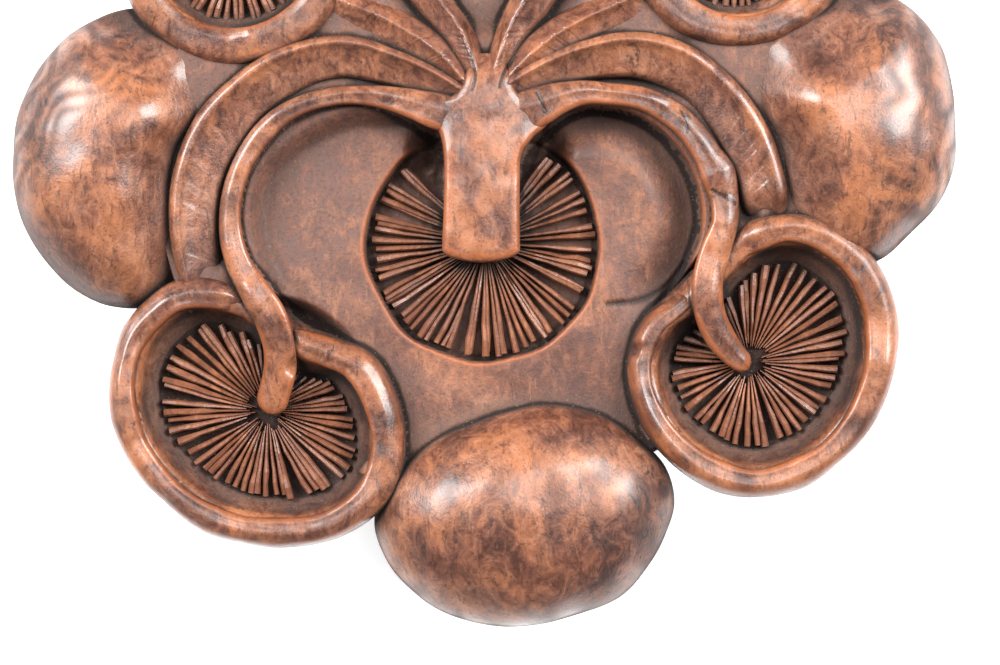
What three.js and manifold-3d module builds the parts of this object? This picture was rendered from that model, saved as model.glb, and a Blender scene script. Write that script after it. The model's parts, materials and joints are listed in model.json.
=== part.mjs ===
// Carved hand bellows: a front board carved as a cluster of mushrooms, a plain back board with a
// clack valve, a pleated leather gusset over two bent hoops, a nose block and a brass nozzle.
// Millimetres. +Z is up (carved face), +Y is towards the nozzle, the bellows lies on its back board.
// "u, v" are places on the boards, measured from the middle of the central gilled cap.
import * as THREE from "three";
import { mergeVertices } from "three/addons/utils/BufferGeometryUtils.js";
import Module from "manifold-3d";

const wasm = await Module();
wasm.setup();

// ---------------------------------------------------------------- driving dimensions
const CHAMBER_RADIUS = 66; // round end of the nailed edge of both boards
const CHAMBER_V = 16; // where that round end is centred
const NECK_HALF = 19; // half the boards' width at the hinge
const HINGE_V = 140;
const BASE_THICKNESS = 8; // lower layer of the back board, with the handle
const BASE_MARGIN = 3.5; // how far that layer stands out past the nailed edge
const STEP_THICKNESS = 9; // nailed edge of each board
const GAP = 26; // between the boards when closed
const CARVED_MARGIN = 5; // the carved layer hides the nails
const GROUND_RISE = 10; // smooth ground of the carving above the nailed edge
const CARVED_END_V = 121; // the carving stops here, before the hinge leather

const LEATHER = 0.9; // gusset
const STRAP_LEATHER = 1.4; // hinge, cheeks, bindings
const FIT_GAP = 0.3; // between touching pieces
const PLEAT_DEPTH = 14;
const PLEAT_DEPTH_AT_NECK = 3;
const PLEAT_TAPER_V = 95; // the pleats get shallower from here to the hinge
const HOOP_THICKNESS = 2.6;
const HOOP_WIDTH = 8;
const HOOP_END_V = 122;
const HOOP_SHARES = [0.387, 0.613]; // height of each hoop's middle in the gap
const HOOP_INSET = 0.6; // from the nailed edge
const HOOP_CLEAR = 0.14; // between a hoop and the pleats round it
const PLEAT_CLEAR = 0.2; // between the outermost pleats and the boards
const LAP_INSET = 0.4; // the gusset's laps stop short of the boards' faces
const BINDING_INSET = 0.6; // and so do the bindings over them

const NOSE_LENGTH = 46;
const NOSE_FRONT_HALF = 16.5;
const DUCT_RADIUS = 6.5;
const NOZZLE_ROOT_RADIUS = 9;
const NOZZLE_TIP_RADIUS = 5.6;
const NOZZLE_ROOT_BORE = 6.2;
const NOZZLE_TIP_BORE = 3.7;
const NOZZLE_LENGTH = 114; // in front of the nose block
const NOZZLE_SOCKET = 18; // the part inside the block
const FERRULE_RADIUS = 14;
const FERRULE_LENGTH = 13;
const BEAD_RADIUS = 7; // rolled bead at the nozzle's tip

const HANDLE = { u: 8.5, pastEdge: 2, halfWidth: 26, halfLength: 24.5, thickness: 16 };
const HANDLE_CLEAR = 8; // from the nailed edge to the thick part of the back handle

const INLET_RADIUS = 13;
const INLET_V = 2;
const FLAP_WIDTH = 40;
const FLAP_LENGTH = 42;
const FLAP_LEATHER = 2;
const FLAP_BOARD = 3;
const FLAP_BOARD_INSET = 4;
const FLAP_TAIL = 10;
const FLAP_CREASE = 1.2; // gap between the flap and its nailed tail

const NAILS_PER_BOARD = 14;
const NAIL_HEAD_RADIUS = 3.2;
const NAIL_HEAD_HEIGHT = 1.9;
const NAIL_SHANK_RADIUS = 0.8;
const NAIL_LENGTH = 9;
const TACK_HEAD_RADIUS = 2.6;
const TACK_HEAD_HEIGHT = 1.3;
const TACK_LENGTH = 6;
const HOLE_CLEARANCE = 0.35;
const TACK_MARGIN = 6; // from the edges of the hinge leather's neck
const SCREW_HEAD_RADIUS = 4;
const SCREW_HEAD_RIM = 0.8;
const SCREW_HEAD_DEPTH = 3; // countersunk head with its rim
const SCREW_SHANK_RADIUS = 2;
const SCREW_POINT = 2;
const SCREW_LENGTH = 26;
const SCREW_SINK = 0.5; // heads below the back board's face

const HINGE_LEATHER_REACH = 16; // to each side of the hinge line
const CHEEK_LENGTH = 24;
const CHEEK_INSET = 1.5; // from the block's rear face, and below its top

// The carving. Lobes are caps seen from above, bowls are caps seen from below, around their gills.
const LOBES = [
  { name: "left", u: -71.3, v: 18, ru: 29.7, rv: 31.8, rise: 14.5, sink: 8 },
  { name: "right", u: 69.8, v: 27, ru: 31.2, rv: 32.2, rise: 14.5, sink: 8 },
  { name: "grip", u: 8.5, v: -58.6, ru: 33, rv: 23.6, rise: 15.5, sink: 8.5 },
  { name: "crown", u: 0, v: 96, ru: 26, rv: 21, rise: 12, sink: 5 },
];
const LOBE_EQUATOR_RISE = 9; // widest line of the lobes above the nailed edge
const BOWLS = [
  { name: "lower_left", u: -48.2, v: -36.2, ru: 30.9, rv: 28, floor: 0.68 },
  { name: "lower_right", u: 59.2, v: -23.6, ru: 28.3, rv: 29.8, floor: 0.68 },
  { name: "upper_left", u: -54, v: 63.8, ru: 25.8, rv: 25.8, floor: 0.7 },
  { name: "upper_right", u: 54.8, v: 66.3, ru: 25.3, rv: 25.3, floor: 0.7 },
];
const BOWL_RIM_RISE = 17.5;
const BOWL_FLOOR_RISE = 10.5;
const GILL_DISC_RADIUS = 25.2; // central cap
const GILL_DISC_DEPTH = 3;
const TRUNK = { topV: 34, bottomV: -3.5, topHalf: 11.5, bottomHalf: 8, rise: 20.5 };
const STALK_HALF_WIDTH = 3.2;
const STALK_RISE = 18;
// Middle lines of the stalks, as u, v, from the trunk outwards.
const STALKS = [
  [[-8, 28], [-25, 31.8], [-41, 28], [-52, 14.5], [-53.5, 2], [-48, -11], [-43.5, -22], [-46, -35]],
  [[11, 29], [27, 31.8], [41, 27], [50, 15], [51, 4], [47.5, -9], [50, -19], [56, -26]],
  [[-6, 33], [-22, 41.5], [-38, 40.5], [-53, 34], [-63, 19], [-64, 5], [-61, -6]],
  [[7, 33], [21, 40.5], [35, 42], [49, 34], [58, 20], [61.5, 8]],
  [[-4, 37], [-15, 47], [-28, 54], [-36, 57]],
  [[5, 37], [16, 46], [29, 52], [40, 56]],
  [[-3, 38], [-9, 50], [-16, 64], [-28, 76], [-43, 76], [-54, 66]],
  [[3, 38], [10, 50], [17, 64], [29, 74], [43, 73], [54, 64]],
];

// ---------------------------------------------------------------- levels and places worked out
const STEP_TOP = BASE_THICKNESS + STEP_THICKNESS; // top of the back board
const FRONT_BOTTOM = STEP_TOP + GAP;
const HINGE_Z = FRONT_BOTTOM + STEP_THICKNESS; // top of the neck of the front board
const NOSE_START_V = HINGE_V + FIT_GAP;
const NOSE_END_V = NOSE_START_V + NOSE_LENGTH;
const DUCT_Z = (STEP_TOP + HINGE_Z) / 2;
const TIP_V = NOSE_END_V + NOZZLE_LENGTH;
const GRIP = LOBES.find((lobe) => lobe.name === "grip");
const HANDLE_V = CHAMBER_V - CHAMBER_RADIUS - HANDLE.pastEdge;
const BACK_END_V = Math.min(GRIP.v - GRIP.rv, HANDLE_V - HANDLE.halfLength);
const CARVING_Y = -(TIP_V + BACK_END_V) / 2; // puts the origin under the middle of the bellows

// ---------------------------------------------------------------- materials
const paint = (color, roughness, metalness = 0) =>
  new THREE.MeshStandardMaterial({ color, roughness, metalness });
const CARVED_WOOD = paint(0xb06a45, 0.42);
const PLAIN_WOOD = paint(0x9a5f3e, 0.5);
const INNER_WOOD = paint(0xb98b5e, 0.7);
const GUSSET_LEATHER = paint(0x5a3526, 0.6);
const STRAP = paint(0x4a2a1e, 0.55);
const BRASS = paint(0xb08a4a, 0.35, 1);
const IRON = paint(0x55504c, 0.5, 1);

// ---------------------------------------------------------------- solids from geometries
function solidOf(geometry) {
  const bare = geometry.clone();
  bare.deleteAttribute("normal");
  bare.deleteAttribute("uv");
  const merged = mergeVertices(bare, 1e-4);
  return new wasm.Manifold(
    new wasm.Mesh({
      numProp: 3,
      vertProperties: merged.attributes.position.array,
      triVerts: new Uint32Array(merged.index.array),
    }),
  );
}

function geometryOf(solid) {
  const mesh = solid.getMesh();
  const positions = new Float32Array(mesh.numVert * 3);
  for (let i = 0; i < mesh.numVert; i++) {
    positions.set(mesh.vertProperties.subarray(i * mesh.numProp, i * mesh.numProp + 3), i * 3);
  }
  return new THREE.BufferGeometry()
    .setAttribute("position", new THREE.BufferAttribute(positions, 3))
    .setIndex(new THREE.BufferAttribute(new Uint32Array(mesh.triVerts), 1));
}

const joined = (solids) => solids.reduce((sum, solid) => sum.add(solid));
const cutBy = (solid, tools) => tools.reduce((rest, tool) => rest.subtract(tool), solid);

const bellows = new THREE.Group();
bellows.position.y = CARVING_Y;

function addPiece(name, geometry, material) {
  const mesh = new THREE.Mesh(geometry, material);
  mesh.name = name;
  bellows.add(mesh);
  return mesh;
}

// ---------------------------------------------------------------- outlines
// Stations of the nailed edge, from the left side of the neck round the chamber to the right side:
// two straight sides tangent to the round end. Each has its outward direction.
function edgeStations(sideSteps = 5, roundSteps = 24) {
  const reach = Math.hypot(NECK_HALF, HINGE_V - CHAMBER_V);
  const toNeck = Math.atan2(HINGE_V - CHAMBER_V, NECK_HALF);
  const tangent = toNeck - Math.acos(CHAMBER_RADIUS / reach); // angle of the right tangent point
  const right = [];
  const touch = new THREE.Vector2(
    CHAMBER_RADIUS * Math.cos(tangent),
    CHAMBER_V + CHAMBER_RADIUS * Math.sin(tangent),
  );
  const side = new THREE.Vector2(Math.cos(tangent), Math.sin(tangent));
  for (let i = 0; i <= sideSteps; i++) {
    const at = new THREE.Vector2(NECK_HALF, HINGE_V).lerp(touch, i / sideSteps);
    right.push({ u: at.x, v: at.y, nu: side.x, nv: side.y });
  }
  const left = right.map((s) => ({ u: -s.u, v: s.v, nu: -s.nu, nv: s.nv }));
  const round = [];
  const sweep = Math.PI + 2 * tangent;
  for (let i = 1; i < roundSteps; i++) {
    const angle = Math.PI - tangent + (sweep * i) / roundSteps;
    const nu = Math.cos(angle);
    const nv = Math.sin(angle);
    round.push({ u: CHAMBER_RADIUS * nu, v: CHAMBER_V + CHAMBER_RADIUS * nv, nu, nv });
  }
  return [...left, ...round, ...right.reverse()];
}

const EDGE = edgeStations();
const shifted = (station, out) =>
  new THREE.Vector2(station.u + station.nu * out, station.v + station.nv * out);

function extruded(points, low, high) {
  const geometry = new THREE.ExtrudeGeometry(new THREE.Shape(points), {
    depth: high - low,
    bevelEnabled: false,
  });
  return geometry.translate(0, 0, low);
}

// Half the width at v on the straight sides, for the nailed edge moved outwards.
function sideHalf(out, v) {
  const { nu, nv } = EDGE[EDGE.length - 1];
  return NECK_HALF + (out - (v - HINGE_V) * nv) / nu;
}

// A plate with the nailed edge's outline, moved outwards, closed across the neck at endV.
function edgePlate(out, low, high, endV = HINGE_V) {
  const points = EDGE.map((s) => shifted(s, out)).filter((p) => p.y < endV - 0.5);
  const half = sideHalf(out, endV);
  return extruded([new THREE.Vector2(-half, endV), ...points, new THREE.Vector2(half, endV)], low, high);
}

// An upright band that follows the nailed edge, between two distances from it. inner may be a function.
function edgeBand(outer, inner, low, high, endV = HINGE_V) {
  const stations = EDGE.filter((s) => s.v <= endV);
  const innerAt = typeof inner === "function" ? inner : () => inner;
  const outside = stations.map((s) => shifted(s, outer));
  const inside = stations.map((s) => shifted(s, innerAt(s))).reverse();
  return extruded([...outside, ...inside], low, high);
}

function ellipsePoints(u, v, ru, rv, steps = 32) {
  const curve = new THREE.EllipseCurve(u, v, ru, rv, 0, 2 * Math.PI);
  return curve.getPoints(steps).slice(0, -1);
}

const boxBetween = (low, high) =>
  new THREE.BoxGeometry(high[0] - low[0], high[1] - low[1], high[2] - low[2]).translate(
    (low[0] + high[0]) / 2,
    (low[1] + high[1]) / 2,
    (low[2] + high[2]) / 2,
  );

// A turned piece round +Z, from radius, height pairs that start and end on the axis or close on themselves.
const turned = (profile, segments = 24) =>
  new THREE.LatheGeometry(
    profile.map(([r, z]) => new THREE.Vector2(r, z)),
    segments,
  ).rotateX(Math.PI / 2);

// ---------------------------------------------------------------- fasteners
// Domed nail or tack with its head's underside at 0 and its shank down -Z.
function domedNail(headRadius, headHeight, length, shankRadius = NAIL_SHANK_RADIUS) {
  return turned(
    [
      [0, -length],
      [shankRadius, -length + shankRadius],
      [shankRadius, 0],
      [headRadius, 0],
      [headRadius * 0.72, headHeight * 0.75],
      [0, headHeight],
    ],
    8,
  );
}

const nailHole = (length, shankRadius = NAIL_SHANK_RADIUS) => {
  const radius = shankRadius + HOLE_CLEARANCE;
  return turned([[0, -length - 1], [radius, -length - 1], [radius, 1], [0, 1]], 6);
};

// Turns a fastener made along Z so that its head faces the direction (nu, nv), and places it.
function onEdge(geometry, station, out, z) {
  const aim = new THREE.Quaternion().setFromUnitVectors(
    new THREE.Vector3(0, 0, 1),
    new THREE.Vector3(station.nu, station.nv, 0),
  );
  const at = shifted(station, out);
  return geometry.applyQuaternion(aim).translate(at.x, at.y, z);
}

// Evenly spaced places along the nailed edge, from one side of the neck to the other.
function nailStations(count, endMargin = 9) {
  const lengths = [0];
  for (let i = 1; i < EDGE.length; i++) {
    lengths.push(lengths[i - 1] + Math.hypot(EDGE[i].u - EDGE[i - 1].u, EDGE[i].v - EDGE[i - 1].v));
  }
  const total = lengths[lengths.length - 1];
  const places = [];
  for (let k = 0; k < count; k++) {
    const along = endMargin + ((total - 2 * endMargin) * k) / (count - 1);
    const i = lengths.findIndex((length) => length >= along);
    const share = (along - lengths[i - 1]) / (lengths[i] - lengths[i - 1]);
    const mix = (key) => EDGE[i - 1][key] + (EDGE[i][key] - EDGE[i - 1][key]) * share;
    const size = Math.hypot(mix("nu"), mix("nv"));
    places.push({ u: mix("u"), v: mix("v"), nu: mix("nu") / size, nv: mix("nv") / size });
  }
  return places;
}

const LAP_INNER = FIT_GAP;
const LAP_OUTER = LAP_INNER + LEATHER;
const BINDING_INNER = LAP_OUTER + FIT_GAP;
const BINDING_OUTER = BINDING_INNER + STRAP_LEATHER;
const NAIL_SEAT = BINDING_OUTER + FIT_GAP;
const BACK_NAIL_Z = BASE_THICKNESS + STEP_THICKNESS / 2;
const FRONT_NAIL_Z = FRONT_BOTTOM + STEP_THICKNESS / 2;
const NAIL_PLACES = nailStations(NAILS_PER_BOARD);

const edgeHoles = (z) =>
  NAIL_PLACES.map((station) => solidOf(onEdge(nailHole(NAIL_LENGTH), station, NAIL_SEAT, z)));
const BACK_HOLES = edgeHoles(BACK_NAIL_Z);
const FRONT_HOLES = edgeHoles(FRONT_NAIL_Z);

function addEdgeNails(prefix, z) {
  NAIL_PLACES.forEach((station, i) => {
    const nail = domedNail(NAIL_HEAD_RADIUS, NAIL_HEAD_HEIGHT, NAIL_LENGTH);
    const name = `${prefix}_nail_${String(i + 1).padStart(2, "0")}`;
    addPiece(name, onEdge(nail, station, NAIL_SEAT, z), BRASS);
  });
}
addEdgeNails("back", BACK_NAIL_Z);
addEdgeNails("front", FRONT_NAIL_Z);

// ---------------------------------------------------------------- tacks on flat faces
const HINGE_TACK_TOP = HINGE_Z + FIT_GAP + STRAP_LEATHER + FIT_GAP;
const hingeTackPlaces = (v) => [-1, 0, 1].map((side) => ({ u: side * (NECK_HALF - TACK_MARGIN), v }));
const FRONT_HINGE_TACKS = hingeTackPlaces(HINGE_V - HINGE_LEATHER_REACH / 2 - 1);
const REAR_HINGE_TACKS = hingeTackPlaces(NOSE_START_V + HINGE_LEATHER_REACH / 2 + 1);
const FLAP_CREASE_V = INLET_V + FLAP_LENGTH / 2;
const TAIL_V = FLAP_CREASE_V + FLAP_CREASE + FLAP_TAIL / 2;
const VALVE_TACKS = [-1, 0, 1].map((side) => ({ u: (side * FLAP_WIDTH) / 3, v: TAIL_V }));
const VALVE_TACK_TOP = STEP_TOP + FIT_GAP + FLAP_LEATHER + FIT_GAP;

const tackHolesAt = (places, z) =>
  places.map(({ u, v }) => solidOf(nailHole(TACK_LENGTH).translate(u, v, z)));

function addTacks(prefix, places, z) {
  places.forEach(({ u, v }, i) => {
    const tack = domedNail(TACK_HEAD_RADIUS, TACK_HEAD_HEIGHT, TACK_LENGTH);
    addPiece(`${prefix}_${i + 1}`, tack.translate(u, v, z), BRASS);
  });
}
addTacks("front_hinge_tack", FRONT_HINGE_TACKS, HINGE_TACK_TOP);
addTacks("rear_hinge_tack", REAR_HINGE_TACKS, HINGE_TACK_TOP);
addTacks("valve_tack", VALVE_TACKS, VALVE_TACK_TOP);

// ---------------------------------------------------------------- screws from below into the nose block
const SCREW_PLACES = [-1, 1].map((end) => ({
  u: 0,
  v: NOSE_START_V + NOSE_LENGTH / 2 + (end * NOSE_LENGTH) / 3.4,
}));
const SCREW_TIP_LIMIT = DUCT_Z - NOZZLE_ROOT_RADIUS - 2; // stays below the duct and the nozzle's socket
const SCREW_REACH = Math.min(SCREW_LENGTH, SCREW_TIP_LIMIT - 0.5);

const screwProfile = (grow) => [
  [0, 0],
  [SCREW_HEAD_RADIUS + grow, 0],
  [SCREW_HEAD_RADIUS + grow, SCREW_HEAD_RIM],
  [SCREW_SHANK_RADIUS + grow, SCREW_HEAD_DEPTH],
  [SCREW_SHANK_RADIUS + grow, SCREW_REACH - SCREW_POINT],
  [0, SCREW_REACH + grow],
];
SCREW_PLACES.forEach(({ u, v }, i) => {
  addPiece(`block_screw_${i + 1}`, turned(screwProfile(0), 10).translate(u, v, SCREW_SINK), IRON);
});

// A screw's hole, open below round its sunk head.
function screwHole({ u, v }) {
  const radius = SCREW_HEAD_RADIUS + HOLE_CLEARANCE;
  const wellTop = SCREW_SINK + 0.1;
  const well = turned([[0, -1], [radius, -1], [radius, wellTop], [0, wellTop]], 10);
  const seat = turned(screwProfile(HOLE_CLEARANCE), 10).translate(0, 0, SCREW_SINK - FIT_GAP);
  return [well, seat].map((geometry) => solidOf(geometry.translate(u, v, 0)));
}
const SCREW_HOLES = SCREW_PLACES.flatMap(screwHole);

// ---------------------------------------------------------------- back board
// Lower layer with the grip, and above it the nailed step; the inlet goes through both.
function noseTongue(margin, low, high) {
  const start = HINGE_V - 1;
  return extruded(
    [
      new THREE.Vector2(-NECK_HALF - margin, start),
      new THREE.Vector2(NECK_HALF + margin, start),
      new THREE.Vector2(NOSE_FRONT_HALF + margin, NOSE_END_V),
      new THREE.Vector2(-NOSE_FRONT_HALF - margin, NOSE_END_V),
    ],
    low,
    high,
  );
}

function backBoard() {
  const { u, halfWidth, halfLength, thickness } = HANDLE;
  const outline = ellipsePoints(u, HANDLE_V, halfWidth, halfLength);
  const grip = solidOf(extruded(outline, 0, thickness)).subtract(
    solidOf(edgePlate(HANDLE_CLEAR, BASE_THICKNESS, thickness + 1)),
  );
  const body = joined([
    solidOf(edgePlate(BASE_MARGIN, 0, BASE_THICKNESS)),
    grip,
    solidOf(edgePlate(0, BASE_THICKNESS - 1, STEP_TOP)),
    solidOf(noseTongue(BASE_MARGIN, 0, BASE_THICKNESS)),
    solidOf(noseTongue(0, BASE_THICKNESS - 1, STEP_TOP)),
  ]);
  const inlet = new THREE.CylinderGeometry(INLET_RADIUS, INLET_RADIUS, STEP_TOP + 4, 28)
    .rotateX(Math.PI / 2)
    .translate(0, INLET_V, STEP_TOP / 2);
  return cutBy(body, [
    solidOf(inlet),
    ...BACK_HOLES,
    ...tackHolesAt(VALVE_TACKS, VALVE_TACK_TOP),
    ...SCREW_HOLES,
  ]);
}
addPiece("back_board", geometryOf(backBoard()), PLAIN_WOOD);

// ---------------------------------------------------------------- nose block and nozzle
const alongNozzle = (geometry, v) => geometry.rotateX(-Math.PI / 2).translate(0, v, DUCT_Z);
const SOCKET_START_V = NOSE_END_V - NOZZLE_SOCKET;

function noseBlock() {
  const block = solidOf(
    extruded(
      [
        new THREE.Vector2(-NECK_HALF, NOSE_START_V),
        new THREE.Vector2(NECK_HALF, NOSE_START_V),
        new THREE.Vector2(NOSE_FRONT_HALF, NOSE_END_V),
        new THREE.Vector2(-NOSE_FRONT_HALF, NOSE_END_V),
      ],
      STEP_TOP,
      HINGE_Z,
    ),
  );
  const duct = turned([[0, -2], [DUCT_RADIUS, -2], [DUCT_RADIUS, NOSE_LENGTH + 2], [0, NOSE_LENGTH + 2]]);
  const socketRadius = NOZZLE_ROOT_RADIUS + FIT_GAP;
  const socket = turned([
    [0, -FIT_GAP],
    [socketRadius, -FIT_GAP],
    [socketRadius, NOZZLE_SOCKET + 2],
    [0, NOZZLE_SOCKET + 2],
  ]);
  return cutBy(block, [
    solidOf(alongNozzle(duct, NOSE_START_V)),
    solidOf(alongNozzle(socket, SOCKET_START_V)),
    ...tackHolesAt(REAR_HINGE_TACKS, HINGE_TACK_TOP),
    ...SCREW_HOLES,
  ]);
}
addPiece("nose_block", geometryOf(noseBlock()), PLAIN_WOOD);

// Tapered tube with a rolled bead; its profile closes on itself round the bore.
const TUBE_END = NOZZLE_SOCKET + NOZZLE_LENGTH;
const nozzleTube = turned([
  [NOZZLE_ROOT_BORE, 0],
  [NOZZLE_ROOT_RADIUS, 0],
  [NOZZLE_ROOT_RADIUS, NOZZLE_SOCKET + FERRULE_LENGTH],
  [NOZZLE_TIP_RADIUS, TUBE_END - 8],
  [BEAD_RADIUS, TUBE_END - 6],
  [BEAD_RADIUS, TUBE_END - 2],
  [NOZZLE_TIP_RADIUS, TUBE_END],
  [NOZZLE_TIP_BORE, TUBE_END],
  [NOZZLE_ROOT_BORE, 0],
]);
addPiece("nozzle_tube", alongNozzle(nozzleTube, SOCKET_START_V), BRASS);

const FERRULE_BORE = NOZZLE_ROOT_RADIUS + FIT_GAP;
const ferrule = turned([
  [FERRULE_BORE, 0],
  [FERRULE_RADIUS, 0],
  [FERRULE_RADIUS, 3],
  [FERRULE_RADIUS - 2, 5],
  [FERRULE_BORE + 1.6, FERRULE_LENGTH - 2],
  [FERRULE_BORE, FERRULE_LENGTH],
  [FERRULE_BORE, 0],
]);
addPiece("nozzle_ferrule", alongNozzle(ferrule, NOSE_END_V + FIT_GAP), BRASS);

// ---------------------------------------------------------------- clack valve
const FLAP_Z = STEP_TOP + FIT_GAP;
const valveFlap = boxBetween(
  [-FLAP_WIDTH / 2, FLAP_CREASE_V - FLAP_LENGTH, FLAP_Z],
  [FLAP_WIDTH / 2, FLAP_CREASE_V, FLAP_Z + FLAP_LEATHER],
);
addPiece("valve_flap", valveFlap, STRAP);

const valveBoard = boxBetween(
  [
    -FLAP_WIDTH / 2 + FLAP_BOARD_INSET,
    FLAP_CREASE_V - FLAP_LENGTH + FLAP_BOARD_INSET,
    FLAP_Z + FLAP_LEATHER,
  ],
  [
    FLAP_WIDTH / 2 - FLAP_BOARD_INSET,
    FLAP_CREASE_V - FLAP_BOARD_INSET,
    FLAP_Z + FLAP_LEATHER + FLAP_BOARD,
  ],
);
addPiece("valve_board", valveBoard, INNER_WOOD);

const valveTail = solidOf(
  boxBetween(
    [-FLAP_WIDTH / 2, FLAP_CREASE_V + FLAP_CREASE, FLAP_Z],
    [FLAP_WIDTH / 2, FLAP_CREASE_V + FLAP_CREASE + FLAP_TAIL, FLAP_Z + FLAP_LEATHER],
  ),
);
addPiece(
  "valve_hinge_strip",
  geometryOf(cutBy(valveTail, tackHolesAt(VALVE_TACKS, VALVE_TACK_TOP))),
  STRAP,
);

// ---------------------------------------------------------------- hoops
HOOP_SHARES.forEach((share, i) => {
  const middle = STEP_TOP + GAP * share;
  const hoop = edgeBand(
    -HOOP_INSET,
    -HOOP_INSET - HOOP_WIDTH,
    middle - HOOP_THICKNESS / 2,
    middle + HOOP_THICKNESS / 2,
    HOOP_END_V,
  );
  addPiece(i ? "hoop_upper" : "hoop_lower", hoop, INNER_WOOD);
});

// ---------------------------------------------------------------- leather gusset
// One skin: laps nailed on both boards' edges, and flat pleats folded between them over the hoops.
function gusset() {
  const pleatInner = (s) => {
    const share = THREE.MathUtils.clamp((s.v - PLEAT_TAPER_V) / (HINGE_V - PLEAT_TAPER_V), 0, 1);
    return -THREE.MathUtils.lerp(PLEAT_DEPTH, PLEAT_DEPTH_AT_NECK, share);
  };
  const foldOuter = (s) => pleatInner(s) + LEATHER;
  const hoopGap = HOOP_THICKNESS / 2 + HOOP_CLEAR;
  const hoopMiddles = HOOP_SHARES.map((share) => STEP_TOP + GAP * share);
  // Undersides of the pleat layers, from the back board up: each pair of layers meets at an inner fold.
  const layers = [
    STEP_TOP + PLEAT_CLEAR,
    hoopMiddles[0] - hoopGap - LEATHER,
    hoopMiddles[0] + hoopGap,
    hoopMiddles[1] - hoopGap - LEATHER,
    hoopMiddles[1] + hoopGap,
    FRONT_BOTTOM - PLEAT_CLEAR - LEATHER,
  ];
  const sheets = layers.map((z) => solidOf(edgeBand(LAP_OUTER, pleatInner, z, z + LEATHER)));
  const foldPlate = (low, high) => {
    const stations = EDGE;
    const outside = stations.map((s) => shifted(s, foldOuter(s)));
    const inside = stations.map((s) => shifted(s, pleatInner(s))).reverse();
    return solidOf(extruded([...outside, ...inside], low, high));
  };
  const folds = [0, 2, 4].map((i) => foldPlate(layers[i], layers[i + 1] + LEATHER));
  const ridges = [1, 3].map((i) =>
    solidOf(edgeBand(LAP_OUTER, LAP_INNER, layers[i], layers[i + 1] + LEATHER)),
  );
  const laps = [
    solidOf(edgeBand(LAP_OUTER, LAP_INNER, BASE_THICKNESS + LAP_INSET, layers[0] + LEATHER)),
    solidOf(edgeBand(LAP_OUTER, LAP_INNER, layers[5], HINGE_Z - LAP_INSET)),
  ];
  return cutBy(joined([...sheets, ...folds, ...ridges, ...laps]), [...BACK_HOLES, ...FRONT_HOLES]);
}
addPiece("leather_gusset", geometryOf(gusset()), GUSSET_LEATHER);

// ---------------------------------------------------------------- bindings over the leather's laps
const binding = (low, high, holes) =>
  geometryOf(cutBy(solidOf(edgeBand(BINDING_OUTER, BINDING_INNER, low, high)), holes));
addPiece(
  "back_binding",
  binding(BASE_THICKNESS + BINDING_INSET, STEP_TOP - BINDING_INSET, BACK_HOLES),
  STRAP,
);
addPiece(
  "front_binding",
  binding(FRONT_BOTTOM + BINDING_INSET, HINGE_Z - BINDING_INSET, FRONT_HOLES),
  STRAP,
);

// ---------------------------------------------------------------- hinge leather and cheeks
const hingeLeather = solidOf(
  boxBetween(
    [-NECK_HALF + 1, HINGE_V - HINGE_LEATHER_REACH, HINGE_Z + FIT_GAP],
    [NECK_HALF - 1, NOSE_START_V + HINGE_LEATHER_REACH, HINGE_Z + FIT_GAP + STRAP_LEATHER],
  ),
);
addPiece(
  "hinge_leather",
  geometryOf(
    cutBy(hingeLeather, [
      ...tackHolesAt(FRONT_HINGE_TACKS, HINGE_TACK_TOP),
      ...tackHolesAt(REAR_HINGE_TACKS, HINGE_TACK_TOP),
    ]),
  ),
  STRAP,
);

// The cheeks seal the sides of the nose, and follow its taper.
function cheek(side) {
  const taper = (NECK_HALF - NOSE_FRONT_HALF) / NOSE_LENGTH;
  const halfAt = (v) => NECK_HALF + FIT_GAP - taper * (v - NOSE_START_V);
  const startV = NOSE_START_V + CHEEK_INSET;
  const endV = NOSE_START_V + CHEEK_LENGTH;
  return extruded(
    [
      new THREE.Vector2(side * halfAt(startV), startV),
      new THREE.Vector2(side * (halfAt(startV) + STRAP_LEATHER), startV),
      new THREE.Vector2(side * (halfAt(endV) + STRAP_LEATHER), endV),
      new THREE.Vector2(side * halfAt(endV), endV),
    ],
    BASE_THICKNESS + FIT_GAP,
    HINGE_Z - CHEEK_INSET,
  );
}
addPiece("cheek_leather_left", cheek(-1), STRAP);
addPiece("cheek_leather_right", cheek(1), STRAP);

// ---------------------------------------------------------------- front board
// Dome over a rounded underside, widest at the equator.
function lobe({ u, v, ru, rv, rise, sink }) {
  const profile = [];
  const steps = 8;
  for (let i = 0; i <= steps; i++) {
    const angle = -Math.PI / 2 + (Math.PI * i) / steps;
    const height = Math.sin(angle) * (angle < 0 ? sink : rise);
    profile.push([i === 0 || i === steps ? 0 : Math.cos(angle), height]);
  }
  const dome = turned(profile, 24).scale(ru, rv, 1);
  return solidOf(dome.translate(u, v, HINGE_Z + LOBE_EQUATOR_RISE));
}

// Cap seen from below: a rounded rim round a flat floor, on a rounded back.
function bowl({ u, v, ru, rv, floor }) {
  const rimTop = BOWL_RIM_RISE;
  const profile = [
    [0, 1.5],
    [0.8, 1.5],
    [0.96, 5],
    [1, 9],
    [0.97, rimTop - 2.2],
    [0.9, rimTop],
    [0.83, rimTop - 0.8],
    [floor + 0.06, BOWL_FLOOR_RISE + 1.5],
    [floor, BOWL_FLOOR_RISE],
    [0, BOWL_FLOOR_RISE],
  ];
  return solidOf(turned(profile, 24).scale(ru, rv, 1).translate(u, v, HINGE_Z));
}

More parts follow.
